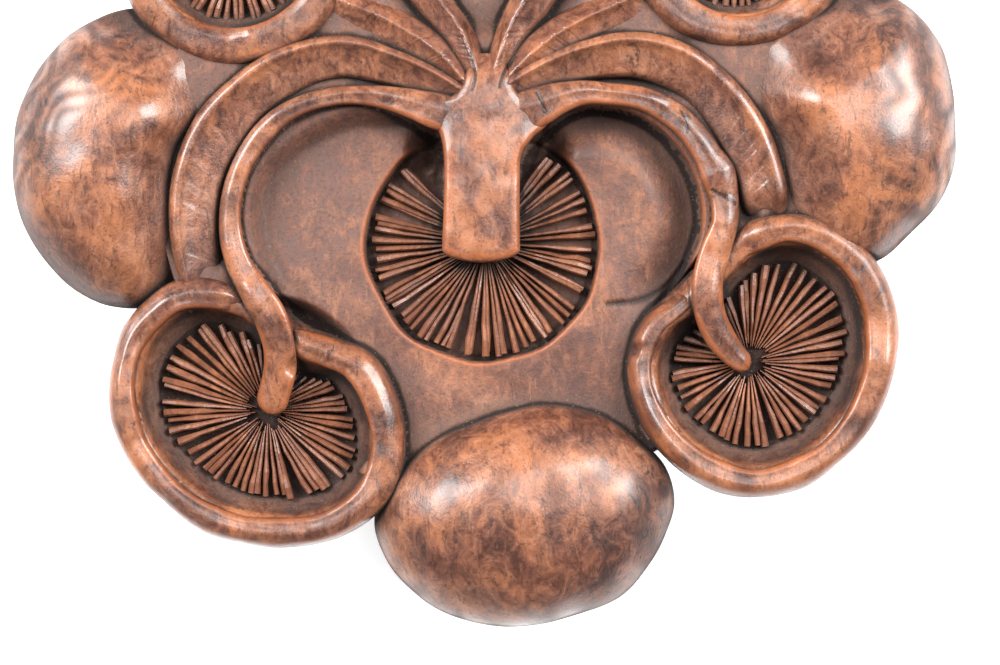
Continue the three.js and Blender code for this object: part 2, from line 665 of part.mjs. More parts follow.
// Stalk: a section with a narrower crest, carried along its middle line from the trunk to its cap.
function stalk(points) {
  const rise = STALK_RISE;
  const path = new THREE.CatmullRomCurve3(
    points.map(([u, v]) => new THREE.Vector3(u, v, HINGE_Z + rise / 2)),
  );
  const half = STALK_HALF_WIDTH;
  // The section's x runs down and its y runs across.
  const section = new THREE.Shape([
    new THREE.Vector2(-rise / 2 + 2.5, -half),
    new THREE.Vector2(rise / 2 - 4, -half * 0.8),
    new THREE.Vector2(rise / 2 - 4, half * 0.8),
    new THREE.Vector2(-rise / 2 + 2.5, half),
    new THREE.Vector2(-rise / 2, half * 0.4),
    new THREE.Vector2(-rise / 2, -half * 0.4),
  ]);
  return sweptUpright(section, path, 2 * points.length);
}

// Carries a section along a flat path with its x kept pointing down.
function sweptUpright(section, path, steps) {
  const outline = section.getPoints();
  const count = outline.length;
  const positions = [];
  const up = new THREE.Vector3(0, 0, 1);
  for (let i = 0; i <= steps; i++) {
    const at = path.getPointAt(i / steps);
    const across = new THREE.Vector3().crossVectors(path.getTangentAt(i / steps), up).normalize();
    for (const p of outline) {
      const place = at.clone().addScaledVector(up, -p.x).addScaledVector(across, p.y);
      positions.push(place.x, place.y, place.z);
    }
  }
  const index = [];
  for (let i = 0; i < steps; i++) {
    for (let j = 0; j < count; j++) {
      const a = i * count + j;
      const b = i * count + ((j + 1) % count);
      index.push(a, b, a + count, b, b + count, a + count);
    }
  }
  for (const [a, b, c] of THREE.ShapeUtils.triangulateShape(outline, [])) {
    const end = steps * count;
    index.push(a, c, b, end + a, end + b, end + c);
  }
  const geometry = new THREE.BufferGeometry()
    .setAttribute("position", new THREE.Float32BufferAttribute(positions, 3))
    .setIndex(index);
  const swept = solidOf(geometry);
  if (swept.volume() > 0) return swept;
  for (let i = 0; i < index.length; i += 3) [index[i + 1], index[i + 2]] = [index[i + 2], index[i + 1]];
  return solidOf(geometry.setIndex(index));
}

function trunk() {
  const { topV, bottomV, topHalf, bottomHalf, rise } = TRUNK;
  return solidOf(
    extruded(
      [
        new THREE.Vector2(-topHalf, topV),
        new THREE.Vector2(-bottomHalf, topV - 8),
        new THREE.Vector2(-bottomHalf, bottomV + 2),
        new THREE.Vector2(-bottomHalf + 2, bottomV),
        new THREE.Vector2(bottomHalf - 2, bottomV),
        new THREE.Vector2(bottomHalf, bottomV + 2),
        new THREE.Vector2(bottomHalf, topV - 8),
        new THREE.Vector2(topHalf, topV),
      ],
      HINGE_Z + GROUND_RISE - GILL_DISC_DEPTH - 2,
      HINGE_Z + rise,
    ),
  );
}

function frontBoard() {
  const groundZ = HINGE_Z + GROUND_RISE;
  const gillRecess = new THREE.CylinderGeometry(GILL_DISC_RADIUS, GILL_DISC_RADIUS, GILL_DISC_DEPTH + 4, 32)
    .rotateX(Math.PI / 2)
    .translate(0, 0, groundZ + 2 - GILL_DISC_DEPTH / 2);
  const ground = solidOf(edgePlate(CARVED_MARGIN, HINGE_Z, groundZ, CARVED_END_V)).subtract(
    solidOf(gillRecess),
  );
  const body = joined([
    solidOf(edgePlate(0, FRONT_BOTTOM, HINGE_Z + 0.01)),
    ground,
    ...LOBES.map(lobe),
    ...BOWLS.map(bowl),
    ...STALKS.map(stalk),
    trunk(),
  ]);
  return cutBy(body, [...FRONT_HOLES, ...tackHolesAt(FRONT_HINGE_TACKS, HINGE_TACK_TOP)]);
}
addPiece("front_board", geometryOf(frontBoard()), CARVED_WOOD);

export default bellows;
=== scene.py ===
"""Carved hand bellows, lying on its back board with the mushroom carving up.

Every shape is worked out in millimetres from the middle of the central gilled cap: u to the right,
v towards the nozzle, h above the top of the plain board. skin() takes it to the frame in metres.
"""
import json
import bpy
import numpy as np
from math import pi
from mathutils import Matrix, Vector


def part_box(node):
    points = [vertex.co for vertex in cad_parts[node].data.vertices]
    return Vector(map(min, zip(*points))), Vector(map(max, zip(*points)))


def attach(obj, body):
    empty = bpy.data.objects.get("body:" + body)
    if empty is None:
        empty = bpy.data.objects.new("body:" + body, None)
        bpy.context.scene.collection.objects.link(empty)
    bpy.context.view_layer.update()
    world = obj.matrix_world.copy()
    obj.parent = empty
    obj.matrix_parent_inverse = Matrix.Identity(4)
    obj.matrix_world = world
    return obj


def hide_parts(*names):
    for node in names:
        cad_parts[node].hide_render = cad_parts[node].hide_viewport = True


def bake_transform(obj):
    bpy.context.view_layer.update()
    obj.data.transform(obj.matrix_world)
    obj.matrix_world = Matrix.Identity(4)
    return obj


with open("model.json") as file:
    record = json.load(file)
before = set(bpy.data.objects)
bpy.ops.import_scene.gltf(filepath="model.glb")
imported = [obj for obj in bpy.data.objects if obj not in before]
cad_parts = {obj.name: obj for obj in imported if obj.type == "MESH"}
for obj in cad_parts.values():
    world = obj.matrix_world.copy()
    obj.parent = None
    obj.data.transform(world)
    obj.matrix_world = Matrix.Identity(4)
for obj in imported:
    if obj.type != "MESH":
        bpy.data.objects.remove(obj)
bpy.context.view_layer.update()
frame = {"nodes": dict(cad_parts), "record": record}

HINGE_V = 140  # from the middle of the gilled cap to the hinge line
hinge = next(j for j in frame["record"]["behaviour"]["joints"] if j["name"] == "board_hinge")
BOARD_TOP = hinge["pos_m"][2] * 1000
ORIGIN = np.array([0.0, hinge["pos_m"][1] * 1000 - HINGE_V, BOARD_TOP])

# ---- Stage ----------------------------------------------------------------------------------
# A pale table under the bellows, two wide soft lamps at its upper left and right, a weaker one
# overhead, and the camera looking straight down on the carving.
VIEW_MIDDLE = (3.6, -18.9)
VIEW_WIDTH = 213.3
CARVING_LEVEL = 14
LENS = 90

camera_data = bpy.data.cameras.new("camera")
camera_data.lens = LENS
camera_data.sensor_width = 36
camera = bpy.data.objects.new("camera", camera_data)
bpy.context.scene.collection.objects.link(camera)
bpy.context.scene.camera = camera
view_distance = VIEW_WIDTH * LENS / camera_data.sensor_width
camera.location = (ORIGIN + [*VIEW_MIDDLE, CARVING_LEVEL + view_distance]) / 1000


def colour(red, green, blue):
    """A screen colour, 0 to 255 each, as the linear values that shaders take."""
    screen = np.array([red, green, blue]) / 255
    linear = np.where(screen <= 0.04045, screen / 12.92, ((screen + 0.055) / 1.055) ** 2.4)
    return (*linear.tolist(), 1.0)


def lamp(name, place, size, power, tint=(1, 1, 1)):
    """A square soft lamp that faces the middle of the carving. Place and size are in metres."""
    light = bpy.data.lights.new(name, "AREA")
    light.energy = power
    light.size = size
    light.color = tint
    holder = bpy.data.objects.new(name, light)
    bpy.context.scene.collection.objects.link(holder)
    holder.location = place
    aim = bpy.data.objects.new(name + "_aim", None)
    aim.location = ORIGIN / 1000
    holder.rotation_euler = (aim.location - holder.location).to_track_quat("-Z", "Y").to_euler()
    bpy.data.objects.remove(aim)


lamp("left_lamp", (-0.9, 0.42, 0.95), 0.75, 34)
lamp("right_lamp", (0.92, 0.36, 0.95), 0.75, 32)
lamp("overhead_lamp", (0.12, 0.28, 1.5), 0.5, 5, (0.93, 0.97, 1))

world = bpy.data.worlds.new("studio")
world.use_nodes = True
world.node_tree.nodes["Background"].inputs["Color"].default_value = (0.93, 0.96, 1, 1)
world.node_tree.nodes["Background"].inputs["Strength"].default_value = 0.3
bpy.context.scene.world = world
bpy.context.scene.view_settings.view_transform = "Standard"

table_mesh = bpy.data.meshes.new("table")
table_mesh.from_pydata([(-6, -6, 0), (6, -6, 0), (6, 6, 0), (-6, 6, 0)], [], [(0, 1, 2, 3)])
table = bpy.data.objects.new("table", table_mesh)
bpy.context.scene.collection.objects.link(table)
paper = bpy.data.materials.new("white_paper")
paper.use_nodes = True
paper.node_tree.nodes["Principled BSDF"].inputs["Base Color"].default_value = (0.9, 0.9, 0.9, 1)
paper.node_tree.nodes["Principled BSDF"].inputs["Roughness"].default_value = 0.9
paper.node_tree.nodes["Principled BSDF"].inputs["Emission Color"].default_value = (1, 1, 1, 1)
paper.node_tree.nodes["Principled BSDF"].inputs["Emission Strength"].default_value = 0.3
table_mesh.materials.append(paper)

# ---- Carved ground --------------------------------------------------------------------------
# The front board is one block of burr wood. Its smooth ground is the underside of the widest cap:
# a shallow dish round the gilled disc, cut deeper against the right stalk, nearly flat below.


def cubic(t, gap, low, low_slope, high, high_slope):
    """The cubic between two values with given slopes, at a share t of the gap between them."""
    return (
        (2 * t**3 - 3 * t**2 + 1) * low
        + (t**3 - 2 * t**2 + t) * gap * low_slope
        + (3 * t**2 - 2 * t**3) * high
        + (t**3 - t**2) * gap * high_slope
    )


def smooth_line(points, count):
    """A smooth line through given points, at even steps along their length.

    Between two points it is a cubic that leaves each with the slope of its neighbours' chord.
    Columns after the first two, such as a half width or a height, are carried along.
    """
    p = np.asarray(points, float)
    length = np.r_[0, np.cumsum(np.linalg.norm(np.diff(p[:, :2], axis=0), axis=1))]
    slope = np.gradient(p, length, axis=0)
    s = np.linspace(0, length[-1], count)
    i = np.clip(np.searchsorted(length, s, side="right") - 1, 0, len(p) - 2)
    gap = (length[i + 1] - length[i])[:, None]
    t = (s - length[i])[:, None] / gap
    return cubic(t, gap, p[i], slope[i], p[i + 1], slope[i + 1])


def ease(x, low, high):
    """0 below low, 1 above high, and a smooth S between them."""
    t = np.clip((x - low) / (high - low), 0, 1)
    return t * t * (3 - 2 * t)


WAVES = 14


def ripple(p, size, seed):
    """Uneven hand work, mostly between -1 and 1: waves of random direction, each about one size long.

    Their sum is divided by the root of their number, so it stays in that range.
    """
    rng = np.random.default_rng(seed)
    heading = rng.normal(size=(WAVES, p.shape[-1]))
    frequency = (2 * pi / size) * rng.uniform(0.6, 1.5, (WAVES, 1))
    heading *= frequency / np.linalg.norm(heading, axis=1)[:, None]
    phase = rng.uniform(0, 2 * pi, WAVES)
    return np.sin(p @ heading.T + phase).sum(axis=-1) / np.sqrt(WAVES)


def distance_to(line, u, v):
    """Distance from each place to a line of points."""
    flat = np.stack([u.ravel(), v.ravel()], axis=-1)
    a, b = line[:-1, :2], line[1:, :2]
    along = b - a
    nearest = np.full(len(flat), np.inf)
    for k in range(len(a)):
        t = np.clip(((flat - a[k]) @ along[k]) / (along[k] @ along[k]), 0, 1)
        nearest = np.minimum(nearest, np.hypot(*(flat - a[k] - t[:, None] * along[k]).T))
    return nearest.reshape(u.shape)


def inside(line, u, v):
    """Whether each place lies inside a closed line, by counting how often the line is to its right."""
    x0, y0 = line[:, 0], line[:, 1]
    x1, y1 = np.roll(x0, -1), np.roll(y0, -1)
    count = np.zeros(u.shape, int)
    for k in range(len(line)):
        crosses = (y0[k] > v) != (y1[k] > v)
        at = x0[k] + (v - y0[k]) / (y1[k] - y0[k] + 1e-12) * (x1[k] - x0[k])
        count += crosses & (u < at)
    return count % 2 == 1


carved = {}  # every carved surface, as name: points, until the dirt is worked out over all of them


def skin(name, rings, ends="fan", smooth=True):
    """Joins stacks of closed rings of points into closed surfaces and makes the object.

    rings has the shape (stack, ring, point, 3) or (ring, point, 3). Neighbouring rings are joined by
    quads. A stack's first and last ring are closed by a fan to their middle, or by a strip between
    their two halves, or joined to each other in a loop. The faces are turned outwards by the sign of
    the volume that they enclose.
    """
    stacks = np.asarray(rings, float)
    if stacks.ndim == 3:
        stacks = stacks[None]
    k, n, m, _ = stacks.shape
    points = (stacks + ORIGIN).reshape(k, n * m, 3) / 1000
    i, j = np.meshgrid(np.arange(n if ends == "loop" else n - 1), np.arange(m), indexing="ij")
    here, after, j_after = i * m, (i + 1) % n * m, (j + 1) % m
    quads = np.stack([here + j, here + j_after, after + j_after, after + j], axis=-1).reshape(-1, 4)
    fans = np.empty((0, 3), int)
    last = (n - 1) * m
    if ends == "fan":
        middles = np.stack([points[:, :m].mean(axis=1), points[:, -m:].mean(axis=1)], axis=1)
        points = np.concatenate([points, middles], axis=1)
        j = np.arange(m)
        first_fan = np.stack([(j + 1) % m, j, np.full(m, n * m)], axis=-1)
        last_fan = np.stack([last + j, last + (j + 1) % m, np.full(m, n * m + 1)], axis=-1)
        fans = np.concatenate([first_fan, last_fan])
    if ends == "strip":
        j = np.arange(m // 2 - 1)
        first_strip = np.stack([j + 1, j, m - 1 - j, m - 2 - j], axis=-1)
        last_strip = last + np.stack([j, j + 1, m - 2 - j, m - 1 - j], axis=-1)
        quads = np.concatenate([quads, first_strip, last_strip])
    corner = points[0]
    triangles = np.concatenate([quads[:, :3], quads[:, [0, 2, 3]], fans])
    a, b, c = (corner[triangles[:, x]] for x in range(3))
    if np.einsum("ij,ij->i", a, np.cross(b, c)).sum() < 0:
        quads = quads[:, ::-1]
        fans = fans[:, ::-1]
    offset = (np.arange(k) * points.shape[1])[:, None]
    corners = np.concatenate([(quads.ravel() + offset).ravel(), (fans.ravel() + offset).ravel()])
    sizes = np.r_[np.full(k * len(quads), 4), np.full(k * len(fans), 3)]
    mesh = bpy.data.meshes.new(name)
    mesh.vertices.add(points.size // 3)
    mesh.vertices.foreach_set("co", points.ravel())
    mesh.loops.add(len(corners))
    mesh.loops.foreach_set("vertex_index", corners)
    mesh.polygons.add(len(sizes))
    mesh.polygons.foreach_set("loop_start", np.r_[0, np.cumsum(sizes)[:-1]])
    mesh.polygons.foreach_set("use_smooth", np.full(len(sizes), smooth))
    mesh.update(calc_edges=True)
    piece = bpy.data.objects.new(name, mesh)
    bpy.context.scene.collection.objects.link(piece)
    return piece


def mark(piece, name, values):
    """Writes one number for each point of a piece, for its material to read."""
    piece.data.attributes.new(name, "FLOAT", "POINT").data.foreach_set("value", np.asarray(values, float))


CHAMBER_RADIUS = 66
CHAMBER_V = 16
NECK_HALF = 19
BOARD_THICKNESS = 9
GROUND = 10
DISC_RADIUS = 25.3
DISC_FLOOR = 5.0


def pear_radius(angle, out, end_v):
    """Distance from the chamber's middle to the board's edge, moved out by out.

    The edge is a round end, two tangents from it to the neck, and the neck's straight end.
    """
    reach = np.hypot(NECK_HALF, HINGE_V - CHAMBER_V)
    tangent = np.arctan2(HINGE_V - CHAMBER_V, NECK_HALF) - np.arccos(CHAMBER_RADIUS / reach)
    above = np.abs(np.arctan2(np.abs(np.cos(angle)), np.sin(angle)))  # 0 towards the neck
    off = np.clip(pi / 2 - tangent - above, 0, pi / 2 - 0.05)
    side = (CHAMBER_RADIUS + out) / np.cos(off)
    neck = (end_v - CHAMBER_V) / np.maximum(np.cos(above), 1e-3)
    return np.where(above < pi / 2, np.minimum(side, neck), side)


def board_rings(levels, steps):
    """Rings of a pear board from (out, height, end of the neck) levels."""
    angle = np.linspace(0, 2 * pi, steps, endpoint=False)
    rings = []
    for out, height, end_v in levels:
        r = pear_radius(angle, out, end_v)
        level = np.full(steps, height)
        rings.append(np.stack([r * np.cos(angle), CHAMBER_V + r * np.sin(angle), level], -1))
    return np.stack(rings)


LEFT_MIDDLE = (-48.6, -36.2)
RIGHT_MIDDLE = (59.2, -24)
UPPER_LEFT_MIDDLE = (-53.5, 63.8)
UPPER_RIGHT_MIDDLE = (54.8, 66.3)
CUP_WELLS = [
    (LEFT_MIDDLE, 26.5), (RIGHT_MIDDLE, 25.5), (UPPER_LEFT_MIDDLE, 23.5), (UPPER_RIGHT_MIDDLE, 23),
]
WELL_FLOOR = 5
SHOULDER = 13.9
GROOVE_DEPTH = 3.4
GROOVE_HALF = 2.1
HOLLOW_MIDDLE = (0.5, 70)
HOLLOW_RADIUS = 30
HOLLOW_DEPTH = 5
POCKET_FLOOR = 1.2
NECK_GROUND = 2.2

dish_edge = smooth_line(
    [(-8, 27), (-17.7, 26), (-29.4, 25), (-39, 20.1), (-45.4, 13.7), (-47.3, 5), (-44.4, -5.5),
     (-37.5, -14.5), (-30, -22), (-24, -32), (-22, -46), (-14, -62), (8, -66), (32, -58), (36, -42),
     (33, -28), (37, -15), (43.4, -5.5), (46.6, 3), (46.2, 11), (43.4, 18), (37, 25.2), (29, 28.9),
     (16.4, 28.6), (9, 26), (-8, 27)],
    260,
)
grooves = [
    smooth_line(points, 90)
    for points in (
        [(-11, 30.6), (-22.3, 36.2), (-31.6, 37.5), (-41.7, 34.3), (-51.7, 24), (-57.6, 12.7),
         (-56.6, -2.3)],
        [(15, 34.5), (23.4, 36.6), (32.1, 35.9), (45.2, 32.4), (50.3, 27.1), (53.6, 21.5),
         (55.9, 15), (56.5, 7)],
    )
]


def ground_height(u, v):
    """Height of the carved ground, over the whole front board.

    Inside the dish it is nearly flat, with a low swell; it rises to the stalks' shoulder across a
    sloped wall on the left, and dips before an upright wall on the right. Grooves part the inner and
    outer stalks, and the ground is hollowed between the upper cups. The gilled disc is sunk in it, a
    deep pocket is cut on each side of the trunk, and the neck slopes down to the plain board.
    """
    d = distance_to(dish_edge, u, v)
    d = np.where(inside(dish_edge, u, v), d, -d)
    p = np.stack([u, v], -1)
    swell = 0.5 * ripple(p, 60, 5) + 0.1 * ripple(p, 16, 6)
    rightness = ease(u, -5, 25) * ease(v, -22, -4)
    floor = GROUND + swell - 4.2 * rightness * (1 - ease(d, 0.5, 11))
    wall = ease(-d, -0.4 - 0.6 * (1 - rightness), 0.4 + 3.4 * (1 - rightness))
    h = floor + (SHOULDER - floor) * wall
    for groove in grooves:
        off = distance_to(groove, u, v)
        h = h - GROOVE_DEPTH * np.exp(-((off / GROOVE_HALF) ** 2))
    inward = HOLLOW_RADIUS - np.hypot(u - HOLLOW_MIDDLE[0], v - HOLLOW_MIDDLE[1])
    hollow = ease(inward, 0, 9) * ease(v, 41, 50)
    h = h - HOLLOW_DEPTH * hollow
    r = np.hypot(u, v)
    rim = DISC_RADIUS + 0.35 * ripple(p / np.maximum(r, 1)[..., None] * 20, 14, 8)
    h = np.where(r < rim + 1.5, h + (DISC_FLOOR - h) * ease(rim - r, -0.15, 0.55), h)
    left_pocket = np.exp(-((((u + 10.4) / 4.6) ** 2 + ((v - 18.8) / 6.6) ** 2) ** 1.4))
    right_pocket = np.exp(-((((u - 11.8) / 5.2) ** 2 + ((v - 18.2) / 8.2) ** 2) ** 1.4))
    pockets = left_pocket + right_pocket
    h = h - pockets * (h - POCKET_FLOOR - 0.5 * ripple(p, 3.4, 9)) * 0.92
    for (cup_u, cup_v), radius in CUP_WELLS:
        h = h + (WELL_FLOOR - h) * ease(radius - np.hypot(u - cup_u, v - cup_v), 0, 3)
    return h + (NECK_GROUND - h) * ease(v, 108, 122)


GROUND_STEPS = 500
GROUND_RINGS = 185
OVERHANG = 5
NECK_END = HINGE_V - 17.5
share = np.linspace(0.004, 1, GROUND_RINGS)[:, None] ** 0.85
angle = np.linspace(0, 2 * pi, GROUND_STEPS, endpoint=False)
reach = pear_radius(angle, OVERHANG - 1.2, NECK_END)
ground_u = share * reach * np.cos(angle)
ground_v = CHAMBER_V + share * reach * np.sin(angle)
ground_top = np.stack([ground_u, ground_v, ground_height(ground_u, ground_v)], -1)
edge_levels = [
    (OVERHANG - 0.3, 9.4, NECK_END + 0.4),
    (OVERHANG, 7.5, NECK_END + 0.6),
    (OVERHANG - 0.4, 3, NECK_END + 0.6),
    (OVERHANG - 2, 0.9, NECK_END),
    (0.4, 0.2, NECK_END - 1),
]
ground_edge = board_rings(edge_levels, GROUND_STEPS)
ground_edge[:, :, 2] = np.minimum(ground_edge[:, :, 2], ground_top[-1, :, 2] - 0.2)
carved["carved_ground"] = np.concatenate([ground_top, ground_edge])

# ---- Cap lobes ------------------------------------------------------------------------------
# Caps seen from above: smooth waxed domes left and right, one at the near end that is the grip, and
# a small one by the neck. The first three stand out past the leather, cut round underneath.


def outline_radius(points, middle, angle):
    """Radius of a rounded outline at each angle: the given points' radii, joined by even cubics."""
    p = np.asarray(points, float) - middle
    at = np.arctan2(p[:, 1], p[:, 0]) % (2 * pi)
    order = np.argsort(at)
    at, r = at[order], np.hypot(p[:, 0], p[:, 1])[order]
    at = np.r_[at[-2:] - 2 * pi, at, at[:2] + 2 * pi]
    r = np.r_[r[-2:], r, r[:2]]
    slope = np.gradient(r, at)
    angle = angle % (2 * pi)
    i = np.clip(np.searchsorted(at, angle, side="right") - 1, 0, len(at) - 2)
    gap = at[i + 1] - at[i]
    t = (angle - at[i]) / gap
    return cubic(t, gap, r[i], slope[i], r[i + 1], slope[i + 1])


VALLEY_DEPTH = 5


def lobe(middle, outline, rise, sink, equator, seed, steps=340, rings=130, beside=()):
    """A cap: height falls from the middle as a squashed sphere's does, round an uneven outline.

    Its top is (1 - share^2.2)^0.55 of the rise at each share of the outline's radius, and its
    underside the same of the sink. Long shallow waves make it hand cut. Where another carving runs
    beside it, it is cut down in a valley, deepest along that line.
    """
    angle = np.linspace(0, 2 * pi, steps, endpoint=False)
    radius = outline_radius(outline, np.array(middle), angle)
    turn = np.linspace(0.01, pi - 0.02, rings)[:, None]
    share = np.sin(turn) ** 0.95
    top = turn < pi / 2
    bulge = (1 - np.minimum(share, 1) ** 2.2) ** 0.55
    height = equator + np.where(top, rise, -sink) * bulge
    u = middle[0] + share * radius * np.cos(angle)
    v = middle[1] + share * radius * np.sin(angle)
    p = np.stack([u, v, np.broadcast_to(height, u.shape)], -1)
    lump = 0.34 * ripple(p, 30, seed) + 0.12 * ripple(p, 12, seed + 1)
    out = np.stack([np.cos(angle), np.sin(angle)], -1)
    p[..., 2] += lump * np.where(top, 1, 0.4)
    p[..., :2] += (0.4 * lump * share)[..., None] * out
    for line in beside:
        off = distance_to(smooth_line(line, 60), u, v)
        valley = VALLEY_DEPTH * (1 - ease(off, 1.5, 15))
        p[..., 2] -= valley * ease(p[..., 2], equator - 2, equator + 7)
    return p


carved["left_lobe"] = lobe(
    (-79, 18),
    [(-77, 50.8), (-87, 46.7), (-94.4, 39.6), (-99.2, 30.7), (-101.2, 19), (-99.3, 4.7), (-93.2, -5.2),
     (-86.6, -10.7), (-79.8, -13.4), (-70, -13), (-63, -5), (-61.5, 6), (-61.5, 16), (-57.5, 26),
     (-52, 35), (-54, 44), (-64, 49.5)],
    rise=14.8, sink=8, equator=8.6, seed=20,
    beside=[[(-63, -8), (-64, 5), (-62.5, 16), (-58, 26), (-50, 35.5)],
            [(-52, 38), (-61, 38), (-71, 44), (-78, 54)]],
)
carved["right_lobe"] = lobe(
    (77, 26.4),
    [(85, 55.2), (92.4, 50.7), (98, 44), (100.8, 35.3), (101.7, 25.4), (101, 16), (97.6, 8.2),
     (91.6, 1.8), (84.4, -3.6), (73, -4), (63, 2), (59.5, 12), (57, 22), (51.5, 32), (46.5, 39.5),
     (52, 47), (62, 54), (74, 57)],
    rise=14.8, sink=8, equator=8.6, seed=30,
    beside=[[(64, 4), (63, 14), (60, 23), (53.5, 33), (46, 41)],
            [(50, 40), (61, 41), (71, 45), (79, 54)]],
)
carved["grip_lobe"] = lobe(
    (8.3, -58.4),
    [(-23.6, -59.3), (-21.2, -67.2), (-13.8, -75.8), (-7.2, -79.8), (0, -81.8), (7, -82.3), (14, -81.5),
     (22, -79.2), (29.2, -76), (35, -70.2), (39.4, -62.6), (41.2, -56), (39.2, -48), (34, -42.2),
     (27.1, -37.2), (20.7, -34.9), (12, -34.1), (3.6, -36.2), (-2.8, -38.5), (-9.2, -41), (-15, -45),
     (-20.9, -51)],
    rise=16.2, sink=8.5, equator=8.4, seed=40,
)
carved["crown_lobe"] = lobe(
    (0, 96),
    [(25, 95), (19.5, 107), (8, 115.5), (-6, 116), (-18.5, 108), (-26, 97), (-22, 84.5), (-11, 76.5),
     (3, 75.5), (17, 79.5)],
    rise=11.5, sink=6, equator=8, seed=50, steps=200, rings=70,
)

# ---- Cups -----------------------------------------------------------------------------------
# Caps seen from below. The bowl is hollowed to a floor for the gills; its back is rounded down to the
# board. The rim is a polished band that winds once round the bowl, from under its stalk.
CUP_FLOOR = 7.2
BOWL_STEPS = 240


def bowl(middle, crest, half_width, seed):
    """A hollowed cap from its floor, up the cut wall under the rim and down its rounded back."""
    angle = np.linspace(0, 2 * pi, BOWL_STEPS, endpoint=False)
    radius = outline_radius(crest, np.array(middle), angle)
    profile = smooth_line(
        [(-radius.mean(), CUP_FLOOR), (-8, CUP_FLOOR), (-7.2, CUP_FLOOR + 0.3),
         (-5.9, CUP_FLOOR + 1.7), (-4.4, CUP_FLOOR + 3.9), (-half_width, 14.2), (0, 14.4),
         (half_width * 0.9, 11.5), (half_width + 0.3, 7.5), (half_width - 1, 3.4),
         (half_width - 5, 0.8), (-radius.mean(), 0.4)],
        110,
    )
    off, height = profile[:, 0], profile[:, 1]
    share = np.clip(1 + off / radius.mean(), 0.01, None)[:, None] / (1 - 9 / radius.mean())
    reach = np.where(off[:, None] > -9, radius + off[:, None], share * (radius - 9))
    p = np.stack(
        [middle[0] + reach * np.cos(angle), middle[1] + reach * np.sin(angle),
         np.broadcast_to(height[:, None], reach.shape)],
        -1,
    )
    wall = ease(off, -7, -4)[:, None] * (1 - ease(off, 1, 3))[:, None]
    p[..., 2] += (0.1 + 0.2 * wall) * ripple(p, 11, seed)
    return p


def band(path, section, count, seed, inner, tool, round_start=0.0, round_end=0.0, feather=0.0):
    """Carries a section along a line in plan, as a gouge and knife leave it.

    path has u, v, half width and crest height; section has the place across, from -1 at the inner
    edge to 1 at the outer, and the depth below the crest. inner is 1 when the inner side is on the
    left of the line. Knife planes several millimetres long change its width, height and tilt, long
    streaks run with it, and a rounded end narrows as a half circle. feather is the depth of the
    short slanting strokes cut across its inner slope, each deeper towards its end.
    """
    rng = np.random.default_rng(seed)
    line = smooth_line(path, count)
    across = np.gradient(line[:, :2], axis=0)
    across /= np.linalg.norm(across, axis=1)[:, None]
    across = np.stack([across[:, 1], -across[:, 0]], -1) * inner
    s = np.r_[0, np.cumsum(np.linalg.norm(np.diff(line[:, :2], axis=0), axis=1))]
    cuts = np.cumsum(rng.uniform(4, 12, int(s[-1] / 4) + 4)) - 6
    plane = [np.interp(s, cuts, rng.normal(0, tool, len(cuts))) for _ in range(3)]
    narrow = np.ones(count)
    if round_start:
        narrow *= np.sqrt(np.clip(1 - np.clip(1 - s / round_start, 0, 0.999) ** 2, 0, 1))
    if round_end:
        narrow *= np.sqrt(np.clip(1 - np.clip(1 - (s[-1] - s) / round_end, 0, 0.999) ** 2, 0, 1))
    half = (line[:, 2] + 0.5 * plane[0]) * narrow
    a, depth = section[:, 0], section[:, 1]
    p = np.empty((count, len(section), 3))
    side = (a[None, :] * half[:, None])[..., None]
    p[..., :2] = line[:, None, :2] + side * across[:, None, :]
    crest = line[:, 3] + 0.8 * plane[1] - 1.2 * (1 - narrow)
    p[..., 2] = crest[:, None] + depth
    top = ease(depth, -4, 0)
    streak = np.interp(a, np.linspace(-1.6, 1.6, 12), rng.normal(0, 0.24 * tool, 12))
    strokes = np.cumsum(rng.gamma(1.0, 2.4, int(s[-1]) + 20) + 0.4) - 6
    at = s[:, None] + 2.2 * a
    stroke = np.searchsorted(strokes, at)
    start, stop = strokes[stroke - 1], strokes[np.minimum(stroke, len(strokes) - 1)]
    p[..., 2] -= feather * top * (1 - ease(a, 0.1, 0.5)) * (at - start) / (stop - start)
    p[..., 2] += top * (0.5 * plane[2][:, None] * a + streak + 0.06 * ripple(p, 6, seed + 1))
    return p


def closed_section(points, count, bottom, half):
    """A band's section: smooth over the top through the points, then straight across its buried foot.

    The steps are even for a band of that half width.
    """
    top = smooth_line(np.asarray(points) * [half, 1], count) / [half, 1]
    foot = np.array([(top[-1, 0] * 0.8, bottom), (top[0, 0] * 0.8, bottom)])
    return np.concatenate([top, foot])


RIM_SECTION = closed_section(
    [(-0.98, -6.5), (-1.04, -3.2), (-1.02, -1.7), (-0.96, -0.8), (-0.84, -0.38), (-0.5, -0.1),
     (0, 0), (0.45, -0.2), (0.75, -0.75), (0.98, -1.8), (1.12, -3.4), (1.25, -6), (1.2, -9)],
    56, -11, 3,
)
LEFT_CREST = [
    (-50.5, -13.2), (-52.9, -11.9), (-59.3, -10.5), (-65.1, -11.3), (-70, -14.7), (-74, -19.4),
    (-76.8, -30.1), (-75.1, -40.7), (-67.8, -51.4), (-57.2, -58.9), (-44.4, -61.4), (-31.6, -59.3),
    (-22.4, -51.4), (-20.5, -42.5), (-22, -34.3), (-27.3, -25.8), (-33, -23.4), (-38.6, -20.9),
    (-40.5, -18.2),
]
RIGHT_CREST = [
    (51.8, -4.2), (55.2, -0.2), (59.1, 1.9), (64.4, 3.2), (69.7, 2.6), (75.1, -0.2),
    (79.3, -3.8), (84.3, -14.1), (84.3, -25.8), (79.6, -38), (69.3, -47.6), (56.5, -50.8),
    (45.2, -46.5), (36.7, -37.5), (33.5, -26.4), (34.6, -20.9), (37.3, -16.6), (41, -13.7),
    (45, -10.5),
]


RING_PLACES = 14
TIGHTENING = 1.2


